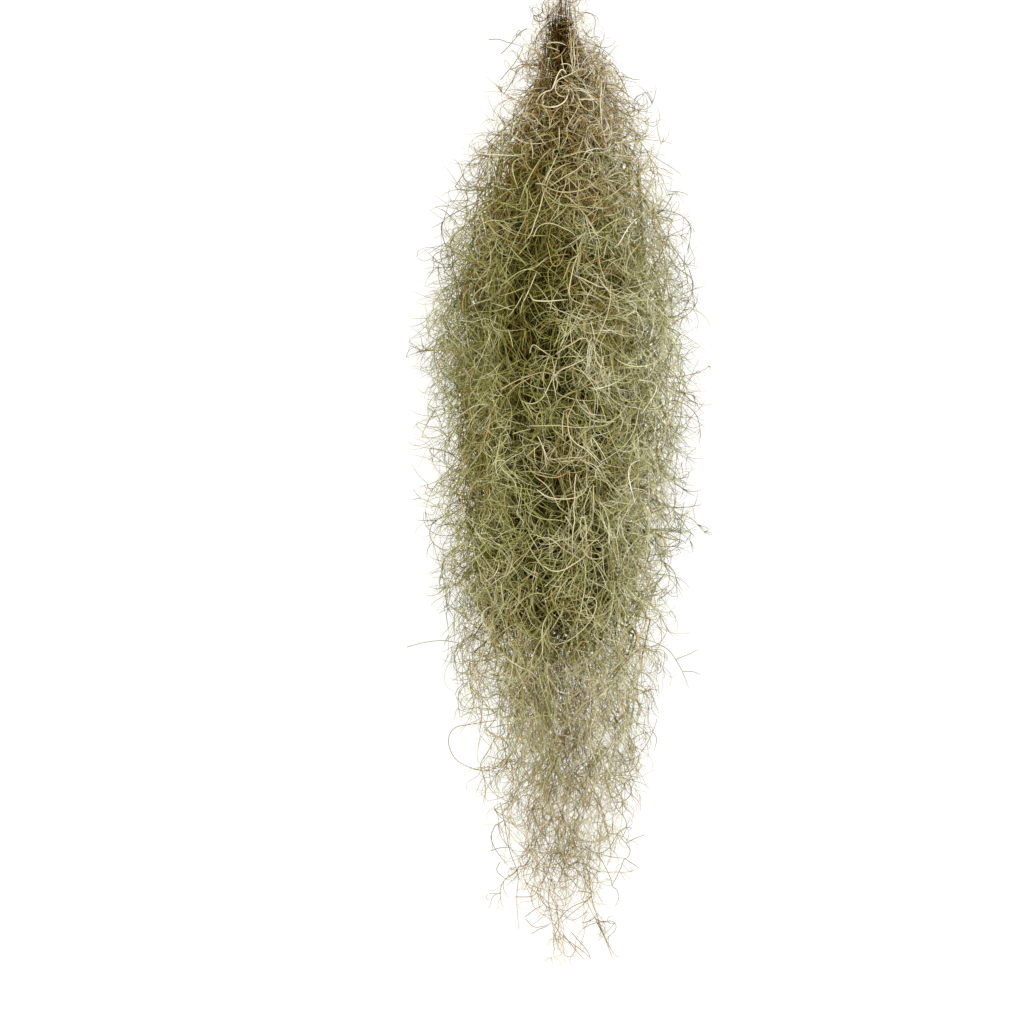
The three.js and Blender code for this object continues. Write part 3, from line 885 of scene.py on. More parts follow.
LYING_BELOW = 30 * MM  # strands that start lower than this lie down the more, up to MOST_LYING
MOST_LYING = 0.9
AXIS_JITTER = 0.3  # how far the axis that a strand curls about may lean from square to the strand
TIGHTENING = 1.6  # how much tighter a strand curls at its tip than at its base, at most
TORSION = 1 / (45 * MM)  # how fast that axis turns about the strand
LEAST_WAVES = 0.4  # a strand with fewer waves than this curls the most at its base
FREE_SHARE = 0.5  # of the strands: they end at the outline instead of turning along it
FREE_TURN = 0.15  # how much of the turn of other strands they make
# A strand begins to turn back a little before its reach, and turns the more the deeper it is past it.
EARLY_TURN = 0.25
TURN_DEPTH = 0.16
MOST_TURN = 1.25
NEAR_FLOOR = 4 * MM
RISING = 0.05  # how steeply a strand that comes near the floor leaves it, at least
LEAST_FITTED = 0.55  # how much smaller a strand is drawn at most to keep it inside the outline
LEAST_SIZE = 0.1  # the same to keep it inside the space

NECK_REACH = ([0.06, 0.15], [0.85, 1])  # how far out strands come, against those of the body
NECK_STRAY = 0.1  # how many more strands of the neck stray
NECK_LENGTH = 0.11
TAIL_FLYAWAY = ([0.66, 0.78], [1, 0.3])  # how far out strays come, against those of the body
LEAST_FLYAWAY = 0.3  # how far out a stray comes at least, as a share of the furthest ones

SHOOT_NODES = 3.0  # places on a stem's node that a shoot may fork from
SHOOT_LEAN = (20, 110)  # degrees from the way that the stem runs
SHOOT_REACH = (0.84, 1.02)
SHOOT_STRAYS = 0.05
SHOOT_WAVES = (0.2, 1.0)
SHOOT_CURL_SPREAD = 0.4
SHOOT_CURL_LIMITS = (8 * MM, 120 * MM)
# How likely a shoot is to fork there, how much it hangs towards the tail, and how wide it curls.
SHOOTS_FORK = ([0.03, 0.06, 0.09, 0.13, 0.2, 0.8, 0.9], [0.8, 1.5, 3, 1.5, 1, 1, 1.4])
SHOOT_HANG = ([0.15, 0.3, 0.6, 0.75], [0.1, 0.35, 0.35, 0.8])
SHOOT_CURL = ([0.08, 0.2, 0.65, 0.8], [14 * MM, 38 * MM, 38 * MM, 20 * MM])
MORE_SHOOT_WAVES = ([0.62, 0.75], [1, 1.7])  # how many more waves it has in the tail
# How many points a strand needs, by how far it turns: (most degrees, points).
SHOOT_POINTS = ((150, 12), (260, 16), (1e9, 20))
LEAF_POINTS = ((60, 7), (110, 8), (180, 10), (1e9, 13))

# Leaves that are out of sight, inside the bunch or on its underside: where, and what they are like.
INSIDE_DEPTH = 0.6
INSIDE = (0.14, 0.62)
UNDER_ACROSS = 0.62
UNDER = (0.1, 0.66)
HIDDEN_LEAF_POINTS = 6
HIDDEN_SHARE = 0.29  # of them that is drawn
HIDDEN_THICKNESS = 1.8

LEAF_LEAN = (15, 100)  # degrees from the way that the stem or shoot runs
LEAF_REACH = (0.86, 1.14)
LEAF_STRAYS = 0.14
LEAF_WAVES = (0.4, 1.1)
LEAF_CURL_SPREAD = 0.5
LEAF_CURL_LIMITS = (6 * MM, 160 * MM)
# How much a leaf hangs towards the tail, and how wide it curls.
LEAF_HANG = ([0.15, 0.3, 0.6, 0.75], [0, 0.2, 0.2, 0.6])
LEAF_CURL = ([0.05, 0.12, 0.22, 0.6, 0.75], [11 * MM, 14 * MM, 27 * MM, 27 * MM, 16 * MM])
BODY = (0.18, 0.66)
BODY_CURL = ([0.35, 0.55, 0.8, 1.0], [1, 0.65, 0.8, 1.5])  # by the place across, in the body
SHORTER_AT_EDGE = 0.35  # how much shorter the leaves are at the sides of the body
EDGE_ACROSS = ([0.7, 0.95], [0, 1])  # by the place across
EDGE_ALONG = ([0.1, 0.2, 0.6, 0.7], [0, 1, 1, 0])
WAVY_SHARE = ([0.6, 0.75], [0.3, 0.8])  # of the leaves; the others only curl
# The first step of a leaf is short, so that it is thick from its base on.
LEAF_FIRST_STEP = 0.02
# By the place along the leaf.
LEAF_THICKNESS = ([0, 0.0199, 0.02, 0.5, 0.8, 0.93, 1], [0, 0, 1, 0.85, 0.58, 0.34, 0])

# The share of the strands that stays, as the tail thins out.
TAIL_SHARE = ([0.62, 0.70, 0.80, 0.88, 0.94], [1, 0.9, 0.84, 0.86, 0.9])
# The share of the leaves near the surface that stays, more in clumps and fewer between them.
USUAL_SHARE = 0.80
SHARE_SPREAD = 0.45
LEAST_SHARE = 0.15
CLUMPED_FROM = ([0.65, 0.85], [0, 1])  # by the depth
CLUMPED_ACROSS = ([0.6, 0.8], [1, 0.3])  # by the place across


def grow(rng, along, start, heading, length, radius_of_curl, reach, waves):
    """Points of many strands grown at once, curling as they go: (strand, point, xyz)."""
    count = len(start)
    heading = unit(heading)
    axis = unit(np.cross(heading, directions(rng, count)))
    axis = unit(axis + AXIS_JITTER * directions(rng, count))
    # On the floor there is only room to curl sideways.
    flat = np.clip(1 - start[:, 2] / LYING_BELOW, 0, MOST_LYING)[:, None]
    upright = np.where(axis[:, 2:] < 0, -1, 1) * np.array([0, 0, 1])
    axis = unit(axis * (1 - flat) + upright * flat)
    heading = unit(heading * (1 - flat * np.array([0, 0, 1])))
    tightening = rng.uniform(0.0, TIGHTENING, count)
    torsion = rng.normal(0, TORSION, count)[:, None]
    phase = rng.uniform(0, 2 * math.pi, count) * (waves > LEAST_WAVES)
    obedience = np.where(rng.uniform(size=count) < FREE_SHARE, FREE_TURN, 1.0)
    place, points = start, [start]
    for before, after in zip(along[:-1], along[1:]):
        step = ((after - before) * length)[:, None]
        place = place + heading * step
        depth, outward = depth_in(place)
        leaving = np.maximum(0, (heading * outward).sum(-1))
        turn = np.clip((depth - reach) / TURN_DEPTH + EARLY_TURN, 0, MOST_TURN)
        turn_back = turn * leaving * obedience
        bend = np.cos(2 * math.pi * waves * after + phase)
        curl = (bend * (1 + tightening * (after - 0.5)) / radius_of_curl)[:, None]
        heading = heading + np.cross(axis, heading) * curl * step - outward * turn_back[:, None]
        axis = unit(axis + np.cross(heading, axis) * torsion * step)
        near_floor = place[:, 2] < NEAR_FLOOR
        heading[:, 2] = np.where(near_floor, np.maximum(heading[:, 2], RISING), heading[:, 2])
        heading = unit(heading)
        place = above_floor(place.copy())
        points.append(place)
    return fitted(np.stack(points, 1), reach)


def fitted(strands, reach):
    """Strands that would leave the space of the bunch are drawn smaller, from where they start."""
    start = strands[:, :1]
    moved = strands - start
    depth, _ = depth_in(strands)
    room = np.maximum(reach - depth[:, 0], 0)
    size = (room / np.maximum(depth.max(1) - depth[:, 0], 1e-6)).clip(LEAST_FITTED, 1)
    for axis, low, high in SPACE:
        room = np.maximum(high - start[:, 0, axis], 0)
        size = np.minimum(size, room / np.maximum(moved[:, :, axis].max(1), room + 1e-9))
        room = np.maximum(start[:, 0, axis] - low, 0)
        size = np.minimum(size, room / np.maximum(-moved[:, :, axis].min(1), room + 1e-9))
    return start + moved * np.maximum(size, LEAST_SIZE)[:, None, None]


def place_on(route, where):
    """The place on a strand, (points, distances), at this distance."""
    points, distance = route
    return np.array([np.interp(where, distance, column) for column in points.T])


def nodes_of(rng, routes, per_node, ring):
    """Where shoots or leaves fork from these strands, and the way that the strand runs there."""
    starts, headings = [], []
    for route in routes:
        _, distance = route
        where = distance[0] + rng.uniform(*FIRST_NODE) * MM
        while where < distance[-1]:
            leafiness = np.interp(NECK_Y - place_on(route, where)[1], LEAFY_AT, LEAFINESS[ring])
            for _ in range(int(per_node * leafiness + rng.uniform())):
                at = where + rng.uniform(*FORK_STAGGER) * MM
                starts.append(place_on(route, at))
                headings.append(place_on(route, at + AHEAD) - starts[-1])
            where += rng.uniform(*NODE_SPACING)
    return np.array(starts), unit(np.array(headings) + 1e-6)


def leaned(rng, way, lowest, highest):
    """Headings that fork off the given ways by an angle in degrees."""
    lean = np.radians(rng.uniform(lowest, highest, len(way)))[:, None]
    aside = unit(np.cross(way, directions(rng, len(way))))
    return way * np.cos(lean) + aside * np.sin(lean)


def how_far_out(rng, start, usual, stray):
    """The depth at which each strand turns back: usually inside the outline, but past it for strays."""
    distance = NECK_Y - start[:, 1]
    middle_x, half_width = of_bunch(distance, "middle_x", "half_width")
    reach = rng.uniform(*usual, len(start)) * np.interp(distance, *NECK_REACH)
    stray = stray + NECK_STRAY * np.clip(1 - distance / NECK_LENGTH, 0, 1)
    flies = rng.uniform(size=len(start)) < stray
    fly = FLYAWAY * np.interp(distance, *TAIL_FLYAWAY)
    loose = np.minimum(half_width + fly, SIDE_LIMIT - np.abs(middle_x)) / half_width
    return np.where(flies, 1 + (loose - 1) * rng.uniform(LEAST_FLYAWAY, 1, len(start)), reach)


def by_turning(turning, classes):
    """Groups of strands by how far they turn, in degrees, each with the number of points it needs."""
    low = 0
    for high, points in classes:
        yield (turning >= low) & (turning < high), points
        low = high


def shoots_on(rng, routes, count, ring):
    """Curly shoots that fork from a festoon's stems: a list of (points, lengths along)."""
    start, way = nodes_of(rng, routes, SHOOT_NODES, ring)
    weight = np.interp(NECK_Y - start[:, 1], *SHOOTS_FORK)
    count = min(count, len(start))
    chosen = rng.choice(len(start), count, replace=False, p=weight / weight.sum())
    start, way = start[chosen], way[chosen]
    distance = NECK_Y - start[:, 1]
    heading = leaned(rng, way, *SHOOT_LEAN)
    heading[:, 1] -= np.interp(distance, *SHOOT_HANG)
    length = rng.uniform(*SHOOT_LENGTH, count)
    usual_curl = np.interp(distance, *SHOOT_CURL)
    curl = (usual_curl * np.exp(rng.normal(0, SHOOT_CURL_SPREAD, count))).clip(*SHOOT_CURL_LIMITS)
    reach = how_far_out(rng, start, SHOOT_REACH, SHOOT_STRAYS)
    waves = rng.uniform(*SHOOT_WAVES, count) * np.interp(distance, *MORE_SHOOT_WAVES)
    shoots = []
    traits = (start, heading, length, curl, reach, waves)
    for group, points in by_turning(np.degrees(length / curl), SHOOT_POINTS):
        if not group.any():
            continue
        along = np.linspace(0, 1, points)
        grown = grow(rng, along, *(trait[group] for trait in traits))
        middles = grown[:, points // 2]
        share = (1 - CLEFT_THINNING * in_cleft(middles)) * tail_share(middles)
        kept = rng.uniform(size=len(grown)) < share
        shoots += [(route, along * size) for route, size in zip(grown[kept], length[group][kept])]
    return shoots


def leaf_outline(points):
    """Where a leaf's points lie along it, and how thick it is at each, as a share of its radius."""
    rest = np.linspace(LEAF_FIRST_STEP, 1, points - 1)[1:]
    along = np.concatenate([[0, LEAF_FIRST_STEP], rest])
    return along, np.interp(along, *LEAF_THICKNESS)


def between(values, limits):
    """Which of the values lie between two limits."""
    return (values > limits[0]) & (values < limits[1])


def out_of_sight(start, across, distance):
    """Which of the leaves that start at these places are out of sight."""
    depth, _ = depth_in(start)
    (middle_z,) = of_bunch(distance, "middle_z")
    inside = (depth < INSIDE_DEPTH) & between(distance, INSIDE)
    under = (start[:, 2] < middle_z) & (across < UNDER_ACROSS) & between(distance, UNDER)
    return inside | under


def leaves_on(rng, routes, per_node, ring):
    """Leaves that fork from the nodes of these strands, as groups of (points, radii, places along)."""
    start, way = nodes_of(rng, routes, per_node, ring)
    count = len(start)
    distance = NECK_Y - start[:, 1]
    across = np.abs(across_bunch(start))
    hidden = out_of_sight(start, across, distance)
    length = rng.uniform(*LEAF_LENGTH, count)
    at_edge = np.interp(across, *EDGE_ACROSS) * np.interp(distance, *EDGE_ALONG)
    length *= 1 - SHORTER_AT_EDGE * at_edge
    usual_curl = np.interp(distance, *LEAF_CURL)
    curl = (usual_curl * np.exp(rng.normal(0, LEAF_CURL_SPREAD, count))).clip(*LEAF_CURL_LIMITS)
    curl *= np.where(between(distance, BODY), np.interp(across, *BODY_CURL), 1)
    turning = np.where(hidden, -1, np.degrees(length / curl))
    heading = leaned(rng, way, *LEAF_LEAN)
    heading[:, 1] -= np.interp(distance, *LEAF_HANG)
    reach = how_far_out(rng, start, LEAF_REACH, LEAF_STRAYS)
    wavy = rng.uniform(size=count) < np.interp(distance, *WAVY_SHARE)
    waves = np.where(wavy, rng.uniform(*LEAF_WAVES, count), 0.0)
    radius = rng.uniform(*LEAF_RADIUS, count) * np.where(hidden, HIDDEN_THICKNESS, 1)
    groups = []
    traits = (start, heading, length, curl, reach, waves)
    for group, points in [(hidden, HIDDEN_LEAF_POINTS), *by_turning(turning, LEAF_POINTS)]:
        if not group.any():
            continue
        along, thickness = leaf_outline(points)
        grown = grow(rng, along, *(trait[group] for trait in traits))
        share = HIDDEN_SHARE if group is hidden else leaf_share(grown[:, points // 2])
        kept = rng.uniform(size=len(grown)) < share
        groups.append((grown[kept], radius[group][kept, None] * thickness, along))
    return groups


def tail_share(places):
    """The share of the strands that stays in the tail."""
    return np.interp(NECK_Y - places[:, 1], *TAIL_SHARE)


def leaf_share(places):
    """The share of the leaves that stays: fewer in the cleft, between clumps and in the tail."""
    depth, _ = depth_in(places)
    across = np.abs(across_bunch(places))
    thinned = USUAL_SHARE + SHARE_SPREAD * clumps(places, 55 * MM, seed=3, lengthwise=0.6)
    thinned = np.clip(thinned, LEAST_SHARE, 1)
    near_surface = np.interp(depth, *CLUMPED_FROM) * np.interp(across, *CLUMPED_ACROSS)
    kept = (1 - CLEFT_THINNING * in_cleft(places)) * (1 + (thinned - 1) * near_surface)
    return kept * tail_share(places)


# ---------------------------------------------------------------- tones

# The share of the strands that are dry.
DRYNESS = (
    [0, 0.1, 0.16, 0.22, 0.32, 0.6, 0.7, 0.8, 0.92],
    [1, 0.95, 0.75, 0.4, 0.14, 0.14, 0.35, 0.6, 0.9],
)
STRAW_LINE = 12 * MM  # the sideways place of the straw in front
STRAW_WIDTH = 45 * MM
STRAW_SHARE = 0.15
DRY_CLUMPS = 0.12  # how much more are dry in one clump than in another
TONE_CLUMPS = 0.06  # how much brighter one clump is than another
NEAR_SURFACE = ([0.7, 1.0], [0, 1])  # by the depth
NECK_GATHERED = ([0.06, 0.18], [0.82, 1])  # the depth of the neck's outermost strands
# A strand's tone by its depth, painted shade that darkens the deeper strands, and the least that it is by
# its place across.
PAINTED_SHADE_BY_DEPTH = ([0.3, 0.6, 0.8, 1.0], [0.20, 0.38, 0.56, 0.67])
LEAST_TONE = ([-0.65, -0.25, 0.15, 0.45], [0.47, 0, 0, 0.62])
# In the tail and in the neck the tones come nearer to one tone.
TAIL_TONE = 0.59
NEAR_TAIL_TONE = ([0.62, 0.76], [0, 0.8])
NECK_TONE = 0.56
NEAR_NECK_TONE = ([0.05, 0.14, 0.22, 0.32], [0, 0.6, 0.5, 0])
TONE_SPREAD = ([0.1, 0.22], [0.22, 0.12])
BRIGHT_SHARE = 0.10  # of the strands that are brighter than their neighbours, and by how much
BRIGHTER = 0.14
RIGHT_LIGHT = ([0, 0.5], [1, 1.14])  # by the place across
RIM_SHADE = ([0.6, 0.88, 1.05], [0, 0.2, 0.72])  # by the place across
RIM_ALONG = ([0.66, 0.8], [1, 0.45])  # how much of that shade there is
# The share of the strands that take a darker grey, painted shade for hairs that stand dark against the
# pale floor: by the place across, and how much of it there is along the bunch, and then some more in the
# tail.
SHADED_HAIR_ACROSS = ([-1.02, -0.85, 0.74, 0.98], [0.8, 0, 0, 0.8])
SHADED_HAIR_ALONG = ([0.1, 0.25, 0.66, 0.8], [0.2, 1, 1, 0.3])
SHADED_HAIR_TAIL = ([0.72, 0.9], [0, 0.12])


def band_place(band, tone):
    """The v of a tone, from 0 to 1, in a band of the strand map."""
    return band[0] + (band[1] - band[0] - BAND_WIDTH) * tone


def along_map(share, span=FULL_U):
    """The u of a place along a strand."""
    return span[0] + (span[1] - span[0]) * share


def tone_bands(rng, places):
    """Each strand's place in the colour map, from where its middle lies.

    The neck is dry and brown, the body living and green with straw in front, and the tail dries to tan.
    Deeper strands, the cleft and the thin rims get painted shade.
    """
    count = len(places)
    depth, _ = depth_in(places)
    across = across_bunch(places)
    distance = NECK_Y - places[:, 1]
    in_straw = np.exp(-(((places[:, 0] - STRAW_LINE) / STRAW_WIDTH) ** 2))
    dry = np.interp(distance, *DRYNESS)
    dry = dry + STRAW_SHARE * in_straw * np.interp(depth, *NEAR_SURFACE)
    dry = dry + DRY_CLUMPS * clumps(places, 90 * MM, seed=5)
    is_dry = rng.uniform(size=count) < dry

    # Painted shade: the deeper a strand lies in the bunch, the darker its tone.
    tone = np.interp(depth / np.interp(distance, *NECK_GATHERED), *PAINTED_SHADE_BY_DEPTH)
    tone = np.maximum(tone, np.interp(across, *LEAST_TONE))
    tone += (TAIL_TONE - tone) * np.interp(distance, *NEAR_TAIL_TONE)
    tone += (NECK_TONE - tone) * np.interp(distance, *NEAR_NECK_TONE)
    tone += rng.normal(0, 1, count) * np.interp(distance, *TONE_SPREAD)
    tone += np.where(rng.uniform(size=count) < BRIGHT_SHARE, BRIGHTER, 0)
    tone += TONE_CLUMPS * clumps(places, 60 * MM, seed=9, lengthwise=0.5)
    tone *= 1 - CLEFT_SHADE * in_cleft(places)
    tone *= np.interp(across, *RIGHT_LIGHT)
    # Where the bunch is thin, its strands look darker than the pale floor behind them.
    tone *= 1 - np.interp(np.abs(across), *RIM_SHADE) * np.interp(distance, *RIM_ALONG)
    tone = np.clip(tone, 0, 1)
    # Painted shade: the hairs at the sides, and a few in the tail, take a darker grey.
    beyond = np.interp(across, *SHADED_HAIR_ACROSS) * np.interp(distance, *SHADED_HAIR_ALONG)
    shaded_hair = rng.uniform(size=count) < beyond + np.interp(distance, *SHADED_HAIR_TAIL)
    v = np.where(is_dry, band_place(DRY_BAND, tone), band_place(LIVING_BAND, tone))
    return np.where(shaded_hair, SHADED_HAIR_V, v)


# ---------------------------------------------------------------- strands to meshes

STEM_SHADE = {"core": 0.12, "inner": 0.25, "middle": 0.4, "outer": 0.7}
STEM_TONE_SPREAD = (-0.25, 0.35)
STEM_SIZES = (0.8, 1.15)
STEM_THICKNESS = ([0, 0.05, 0.2, 0.8, 1.0], [0.7, 0.8, 1.0, 0.75, 0.55])
IN_NECK = 60 * MM  # where a cut stem's place across the neck gives its tone
NECK_SHADE = ([0.55, 0.9], [0.3, 1.1])  # by the place across the stems
# Of the matted stems. The names in ACROSS and RIGHT go by the place across the stems.
MATTED_THIN_ACROSS = ([0.6, 1.0], [1, 0.55])
MATTED_THIN_ALONG = ([0.1, 0.2], [0.6, 1])
# Their tone is painted shade in part: darkest in the middle of the bunch and in the neck, lighter at the
# sides.
MATTED_TONE_ACROSS = ([0.4, 0.95], [0.03, 0.56])
MATTED_TONE_RIGHT = ([0.25, 0.6], [0, 0.24])
MATTED_TONE_SPREAD = 0.08
MATTED_TONE_ALONG = ([0.14, 0.18, 0.26, 0.32], [0, 0.12, 0.12, 0])
MATTED_SHADE_ALONG = ([0.11, 0.2], [0.35, 1])
MATTED_DRYNESS = ([0.15, 0.25], [0.9, 0.3])
SHOOT_THICKNESS = ([0, 0.6, 1], [1, 0.85, 0.45])  # by the place along the shoot

FRONT_TONES = [0.25, 0.6, 0.95]
FRONT_RADIUS = (0.34 * MM, 0.48 * MM, 0.68 * MM)  # of front strands of these tones
FRONT_DIP = 6 * MM  # how far the ends of a front strand go into the bunch
SHORT_DIP = 0.12  # the same for a short one, as a share of its length
FRONT_LIFT = (-4 * MM, 1.5 * MM)  # how far it lies from the outline
FRONT_THICKENING = ([0.12, 0.2], [1.2, 1])
FRONT_BRIGHTNESS = ([0.12, 0.2], [0.97, 0.77])
FRONT_THICKNESS = ([0, 0.5, 0.8, 1], [1, 0.95, 0.8, 0.45])  # by the place along the strand
FRONT_DIPS = ([0, 0.25, 0.75, 1], [1, 0, 0, 1])


def make_section():
    """The three-sided section that every strand is drawn with."""
    data = bpy.data.curves.new("section", "CURVE")
    data.dimensions = "2D"
    side = data.splines.new("POLY")
    side.points.add(2)
    side.use_cyclic_u = True
    for turn, point in enumerate(side.points):
        angle = 2 * math.pi * turn / 3
        point.co = (math.cos(angle), math.sin(angle), 0, 1)
    section = bpy.data.objects.new("section", data)
    bpy.context.scene.collection.objects.link(section)
    return section


def strands_mesh(name, strands, section):
    """One mesh of closed strands. Each strand is (points, radii, u of each point, v)."""
    data = bpy.data.curves.new(name, "CURVE")
    data.dimensions = "3D"
    data.bevel_mode = "OBJECT"
    data.bevel_object = section
    for points, radii, _, _ in strands:
        spline = data.splines.new("POLY")
        spline.points.add(len(points) - 1)
        spline.points.foreach_set("co", np.pad(points, ((0, 0), (0, 1)), constant_values=1).ravel())
        spline.points.foreach_set("radius", radii)
    curve = bpy.data.objects.new(name + "_route", data)
    bpy.context.scene.collection.objects.link(curve)
    drawn = curve.evaluated_get(bpy.context.evaluated_depsgraph_get())
    mesh = bpy.data.meshes.new_from_object(drawn)
    bpy.data.objects.remove(curve)
    bpy.data.curves.remove(data)

    # Three vertices in a row are drawn for each point of a route.
    while mesh.uv_layers:
        mesh.uv_layers.remove(mesh.uv_layers[0])
    layer = mesh.uv_layers.new(name=UV_NAME)
    along = np.concatenate([u for _, _, u, _ in strands])
    tone = np.concatenate([np.full(len(u), v) for _, _, u, v in strands])
    corner = np.empty(len(mesh.loops), np.int64)
    mesh.loops.foreach_get("vertex_index", corner)
    uv = np.stack([along[corner // 3], tone[corner // 3] + BAND_WIDTH * (corner % 3) / 2], 1)
    layer.uv.foreach_set("vector", uv.astype(np.float32).ravel())

    body = bmesh.new()
    body.from_mesh(mesh)
    bmesh.ops.remove_doubles(body, verts=body.verts, dist=1e-6)
    bmesh.ops.recalc_face_normals(body, faces=body.faces)
    body.to_mesh(mesh)
    body.free()
    mesh.shade_smooth()
    return mesh


def make_piece(name, node, strands, section, material):
    """A finished piece that stands for one festoon of the frame."""
    mesh = strands_mesh(name, strands, section)
    mesh.materials.append(material)
    piece = bpy.data.objects.new(name, mesh)
    bpy.context.scene.collection.objects.link(piece)
    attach(piece, "root")
    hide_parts(node)


def pointed(radii):
    """The same radii with both ends drawn to a point, which closes the strand."""
    radii[0] = radii[-1] = 0
    return radii


def across_stems(x, distance):
    """How far a place is to the right of the stems' middle, as a share of their half width."""
    stem_x, stem_width = of_bunch(distance, "stem_x", "stem_width")
    return (x - stem_x) / stem_width


def stem_strands(rng, routes, ring):
    """Stems as strands. Their colour runs along the bunch; those of the inner rings are in the shade."""
    strands = []
    for points, distance in routes:
        radii = STEM_RADIUS * rng.uniform(*STEM_SIZES) * np.interp(distance, *STEM_THICKNESS)
        tone = STEM_SHADE[ring] + rng.uniform(*STEM_TONE_SPREAD)
        if distance[0] < CUT_ENDS:
            i = np.searchsorted(distance, IN_NECK)
            tone *= np.interp(abs(across_stems(points[i, 0], distance[i])), *NECK_SHADE)
        v = band_place(STEM_BAND, np.clip(tone, 0, 1))
        strands.append((points, pointed(radii), along_map(distance / BUNCH_LENGTH), v))
    return strands


def matted_strands(rng, routes):
    """The old matted stems as strands: thick, and dark except at the sides, partly as old stems and
    partly with painted shade.
    """
    strands = []
    for points, distance in routes:
        halfway = len(points) // 2
        middle = distance[halfway]
        side = across_stems(points[halfway, 0], middle)
        thickness = np.interp(abs(side), *MATTED_THIN_ACROSS) * np.interp(distance, *MATTED_THIN_ALONG)
        radii = rng.uniform(*MATTED_RADIUS) * thickness
        tone = np.interp(abs(side), *MATTED_TONE_ACROSS) + rng.uniform(0, MATTED_TONE_SPREAD)
        tone += np.interp(middle, *MATTED_TONE_ALONG)
        tone += np.interp(side, *MATTED_TONE_RIGHT)
        tone *= np.interp(middle, *MATTED_SHADE_ALONG)
        band = DRY_BAND if rng.uniform() < np.interp(middle, *MATTED_DRYNESS) else LIVING_BAND
        u = along_map(np.linspace(0, 1, len(points)), MATTED_U)
        strands.append((points, pointed(radii), u, band_place(band, tone)))
    return strands


def shoot_strands(rng, routes):
    """Shoots as strands, toned by where their middles lie."""
    strands = []
    if not routes:
        return strands
    middles = np.array([points[len(points) // 2] for points, _ in routes])
    for (points, along), v in zip(routes, tone_bands(rng, middles)):
        share = along / along[-1]
        radii = rng.uniform(*SHOOT_RADIUS) * np.interp(share, *SHOOT_THICKNESS)
        strands.append((points, pointed(radii), along_map(share), v))
    return strands


def leaf_strands(rng, groups):
    """Leaves as strands, toned by where their middles lie."""
    strands = []
    for points, radii, along in groups:
        bands = tone_bands(rng, points[:, points.shape[1] // 2])
        strands += [(route, thick, along_map(along), v) for route, thick, v in zip(points, radii, bands)]
    return strands


def rounded(route, rounds=2):
    """The same route with its corners cut, and its ends kept."""
    for _ in range(rounds):
        before, after = route[:-1], route[1:]
        cuts = np.stack([0.75 * before + 0.25 * after, 0.25 * before + 0.75 * after], 1)
        route = np.concatenate([route[:1], cuts.reshape(-1, 2), route[-1:]])
    return route


def on_the_front(rng, route):
    """Lays a route of (x, distance) on the front of the bunch: its points, and its share at each."""
    x, distance = route.T
    steps = np.hypot(*np.diff(route, axis=0).T)
    share = np.concatenate([[0], np.cumsum(steps)]) / steps.sum()
    middle_x, half_width, middle_z, half_height = of_bunch(
        distance, "middle_x", "half_width", "middle_z", "half_height"
    )
    across = (x - middle_x) / half_width
    z = middle_z + half_height * np.sqrt(np.maximum(0, 1 - across**2)) + rng.uniform(*FRONT_LIFT)
    z -= min(FRONT_DIP, SHORT_DIP * steps.sum()) * np.interp(share, *FRONT_DIPS)
    return above_floor(np.stack([x, NECK_Y - distance, z], -1)), share


def nearest_festoon(festoons, place):
    """The festoon that runs closest to a place."""
    distance = NECK_Y - place[1]
    gaps = {}
    for node, table in festoons.items():
        x, z = look_up(table, distance)[:2]
        past = max(0, distance - table[-1, 0])
        gaps[node] = math.hypot(gathered(x, distance) - place[0], z - place[2]) + past
    return min(gaps, key=gaps.get)


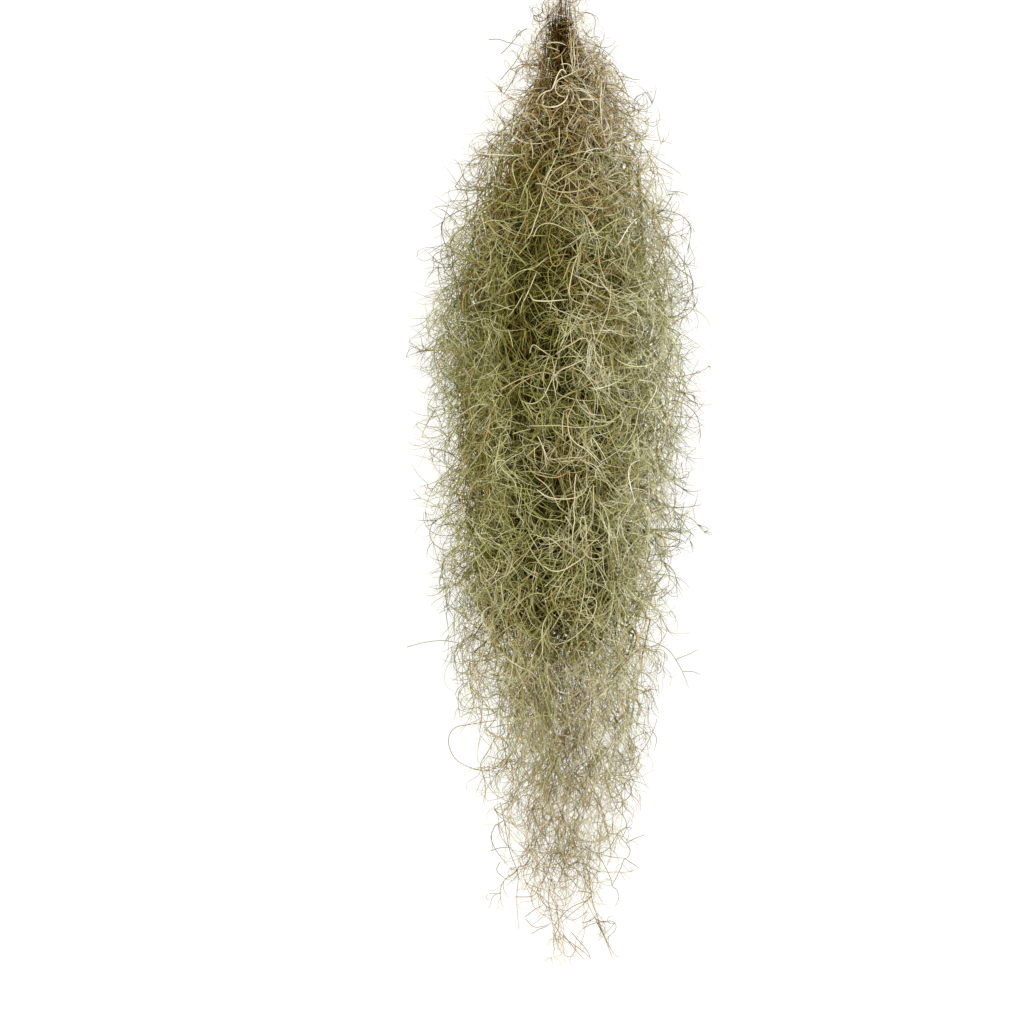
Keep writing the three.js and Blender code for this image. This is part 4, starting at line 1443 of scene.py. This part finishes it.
def front_strands(rng, festoons):
    """The single strands on the front, for each festoon that carries them."""
    carried = {node: [] for node in festoons}
    for band, rows in ((DRY_BAND, FRONT_DRY), (LIVING_BAND, FRONT_LIVING)):
        for tone, route in rows:
            route = np.array(route) * MM
            points, share = on_the_front(rng, rounded(route))
            radius = np.interp(tone, FRONT_TONES, FRONT_RADIUS)
            radius *= np.interp(route[0, 1], *FRONT_THICKENING)
            radii = radius * np.interp(share, *FRONT_THICKNESS)
            middle = points[len(points) // 2]
            v = band_place(band, np.interp(NECK_Y - middle[1], *FRONT_BRIGHTNESS) * tone)
            owner = nearest_festoon(festoons, middle)
            carried[owner].append((points, pointed(radii), along_map(share, FRONT_U), v))
    return carried


# ---------------------------------------------------------------- the whole bunch

WIDEST = 0.4  # where the bunch is widest, by the distance: the heights below are those there
LOW = 45 * MM  # a festoon whose middle is lower than this has twice the matted stems
UNDERSIDE = 24 * MM  # one that is lower than this is out of sight, and gets fewer strands
UNDERSIDE_LEAVES = 0.7
FRONT_SEED = 99
FIRST_SEED = 100  # the festoons have this seed and those that follow it


def festoon_strands(rng, table, ring):
    """All the strands of one festoon."""
    settings = RINGS[ring]
    height = np.interp(WIDEST, table[:, 0], table[:, 2])
    underside = ring == "outer" and height < UNDERSIDE
    shoot_count = settings["shoots"] // 2 if underside else settings["shoots"]
    per_node = settings["leaves"] * (UNDERSIDE_LEAVES if underside else 1)
    matted_count = settings["matted"] * (2 if height < LOW else 1)
    stems = stem_routes(rng, table, settings["stems"], settings["forks"])
    matted = matted_routes(rng, table, matted_count, settings["neck_matted"])
    shoots = shoots_on(rng, stems, shoot_count, ring)
    leaves = leaves_on(rng, stems + shoots, per_node, ring)
    strands = stem_strands(rng, stems, ring) + matted_strands(rng, matted)
    return strands + shoot_strands(rng, shoots) + leaf_strands(rng, leaves)


make_camera()
make_room()
festoons = {node: cross_sections(node) for node in sorted(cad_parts)}
bunch = whole_bunch(festoons)
silver_scales()
finishes = {
    "living_moss": moss_material("living_moss", amount=0.3, relief=0.4),
    "dry_stem": moss_material("dry_stem", amount=0.12, relief=0.6),
}
section = make_section()
on_front = front_strands(np.random.default_rng(FRONT_SEED), festoons)
for number, (node, table) in enumerate(festoons.items()):
    ring = node.split("_")[0]
    slot = "dry_stem" if ring == "core" else "living_moss"
    rng = np.random.default_rng(FIRST_SEED + number)
    strands = festoon_strands(rng, table, ring) + on_front[node]
    make_piece(node.replace("festoon", "strands"), node, strands, section, finishes[slot])
bpy.data.objects.remove(section)
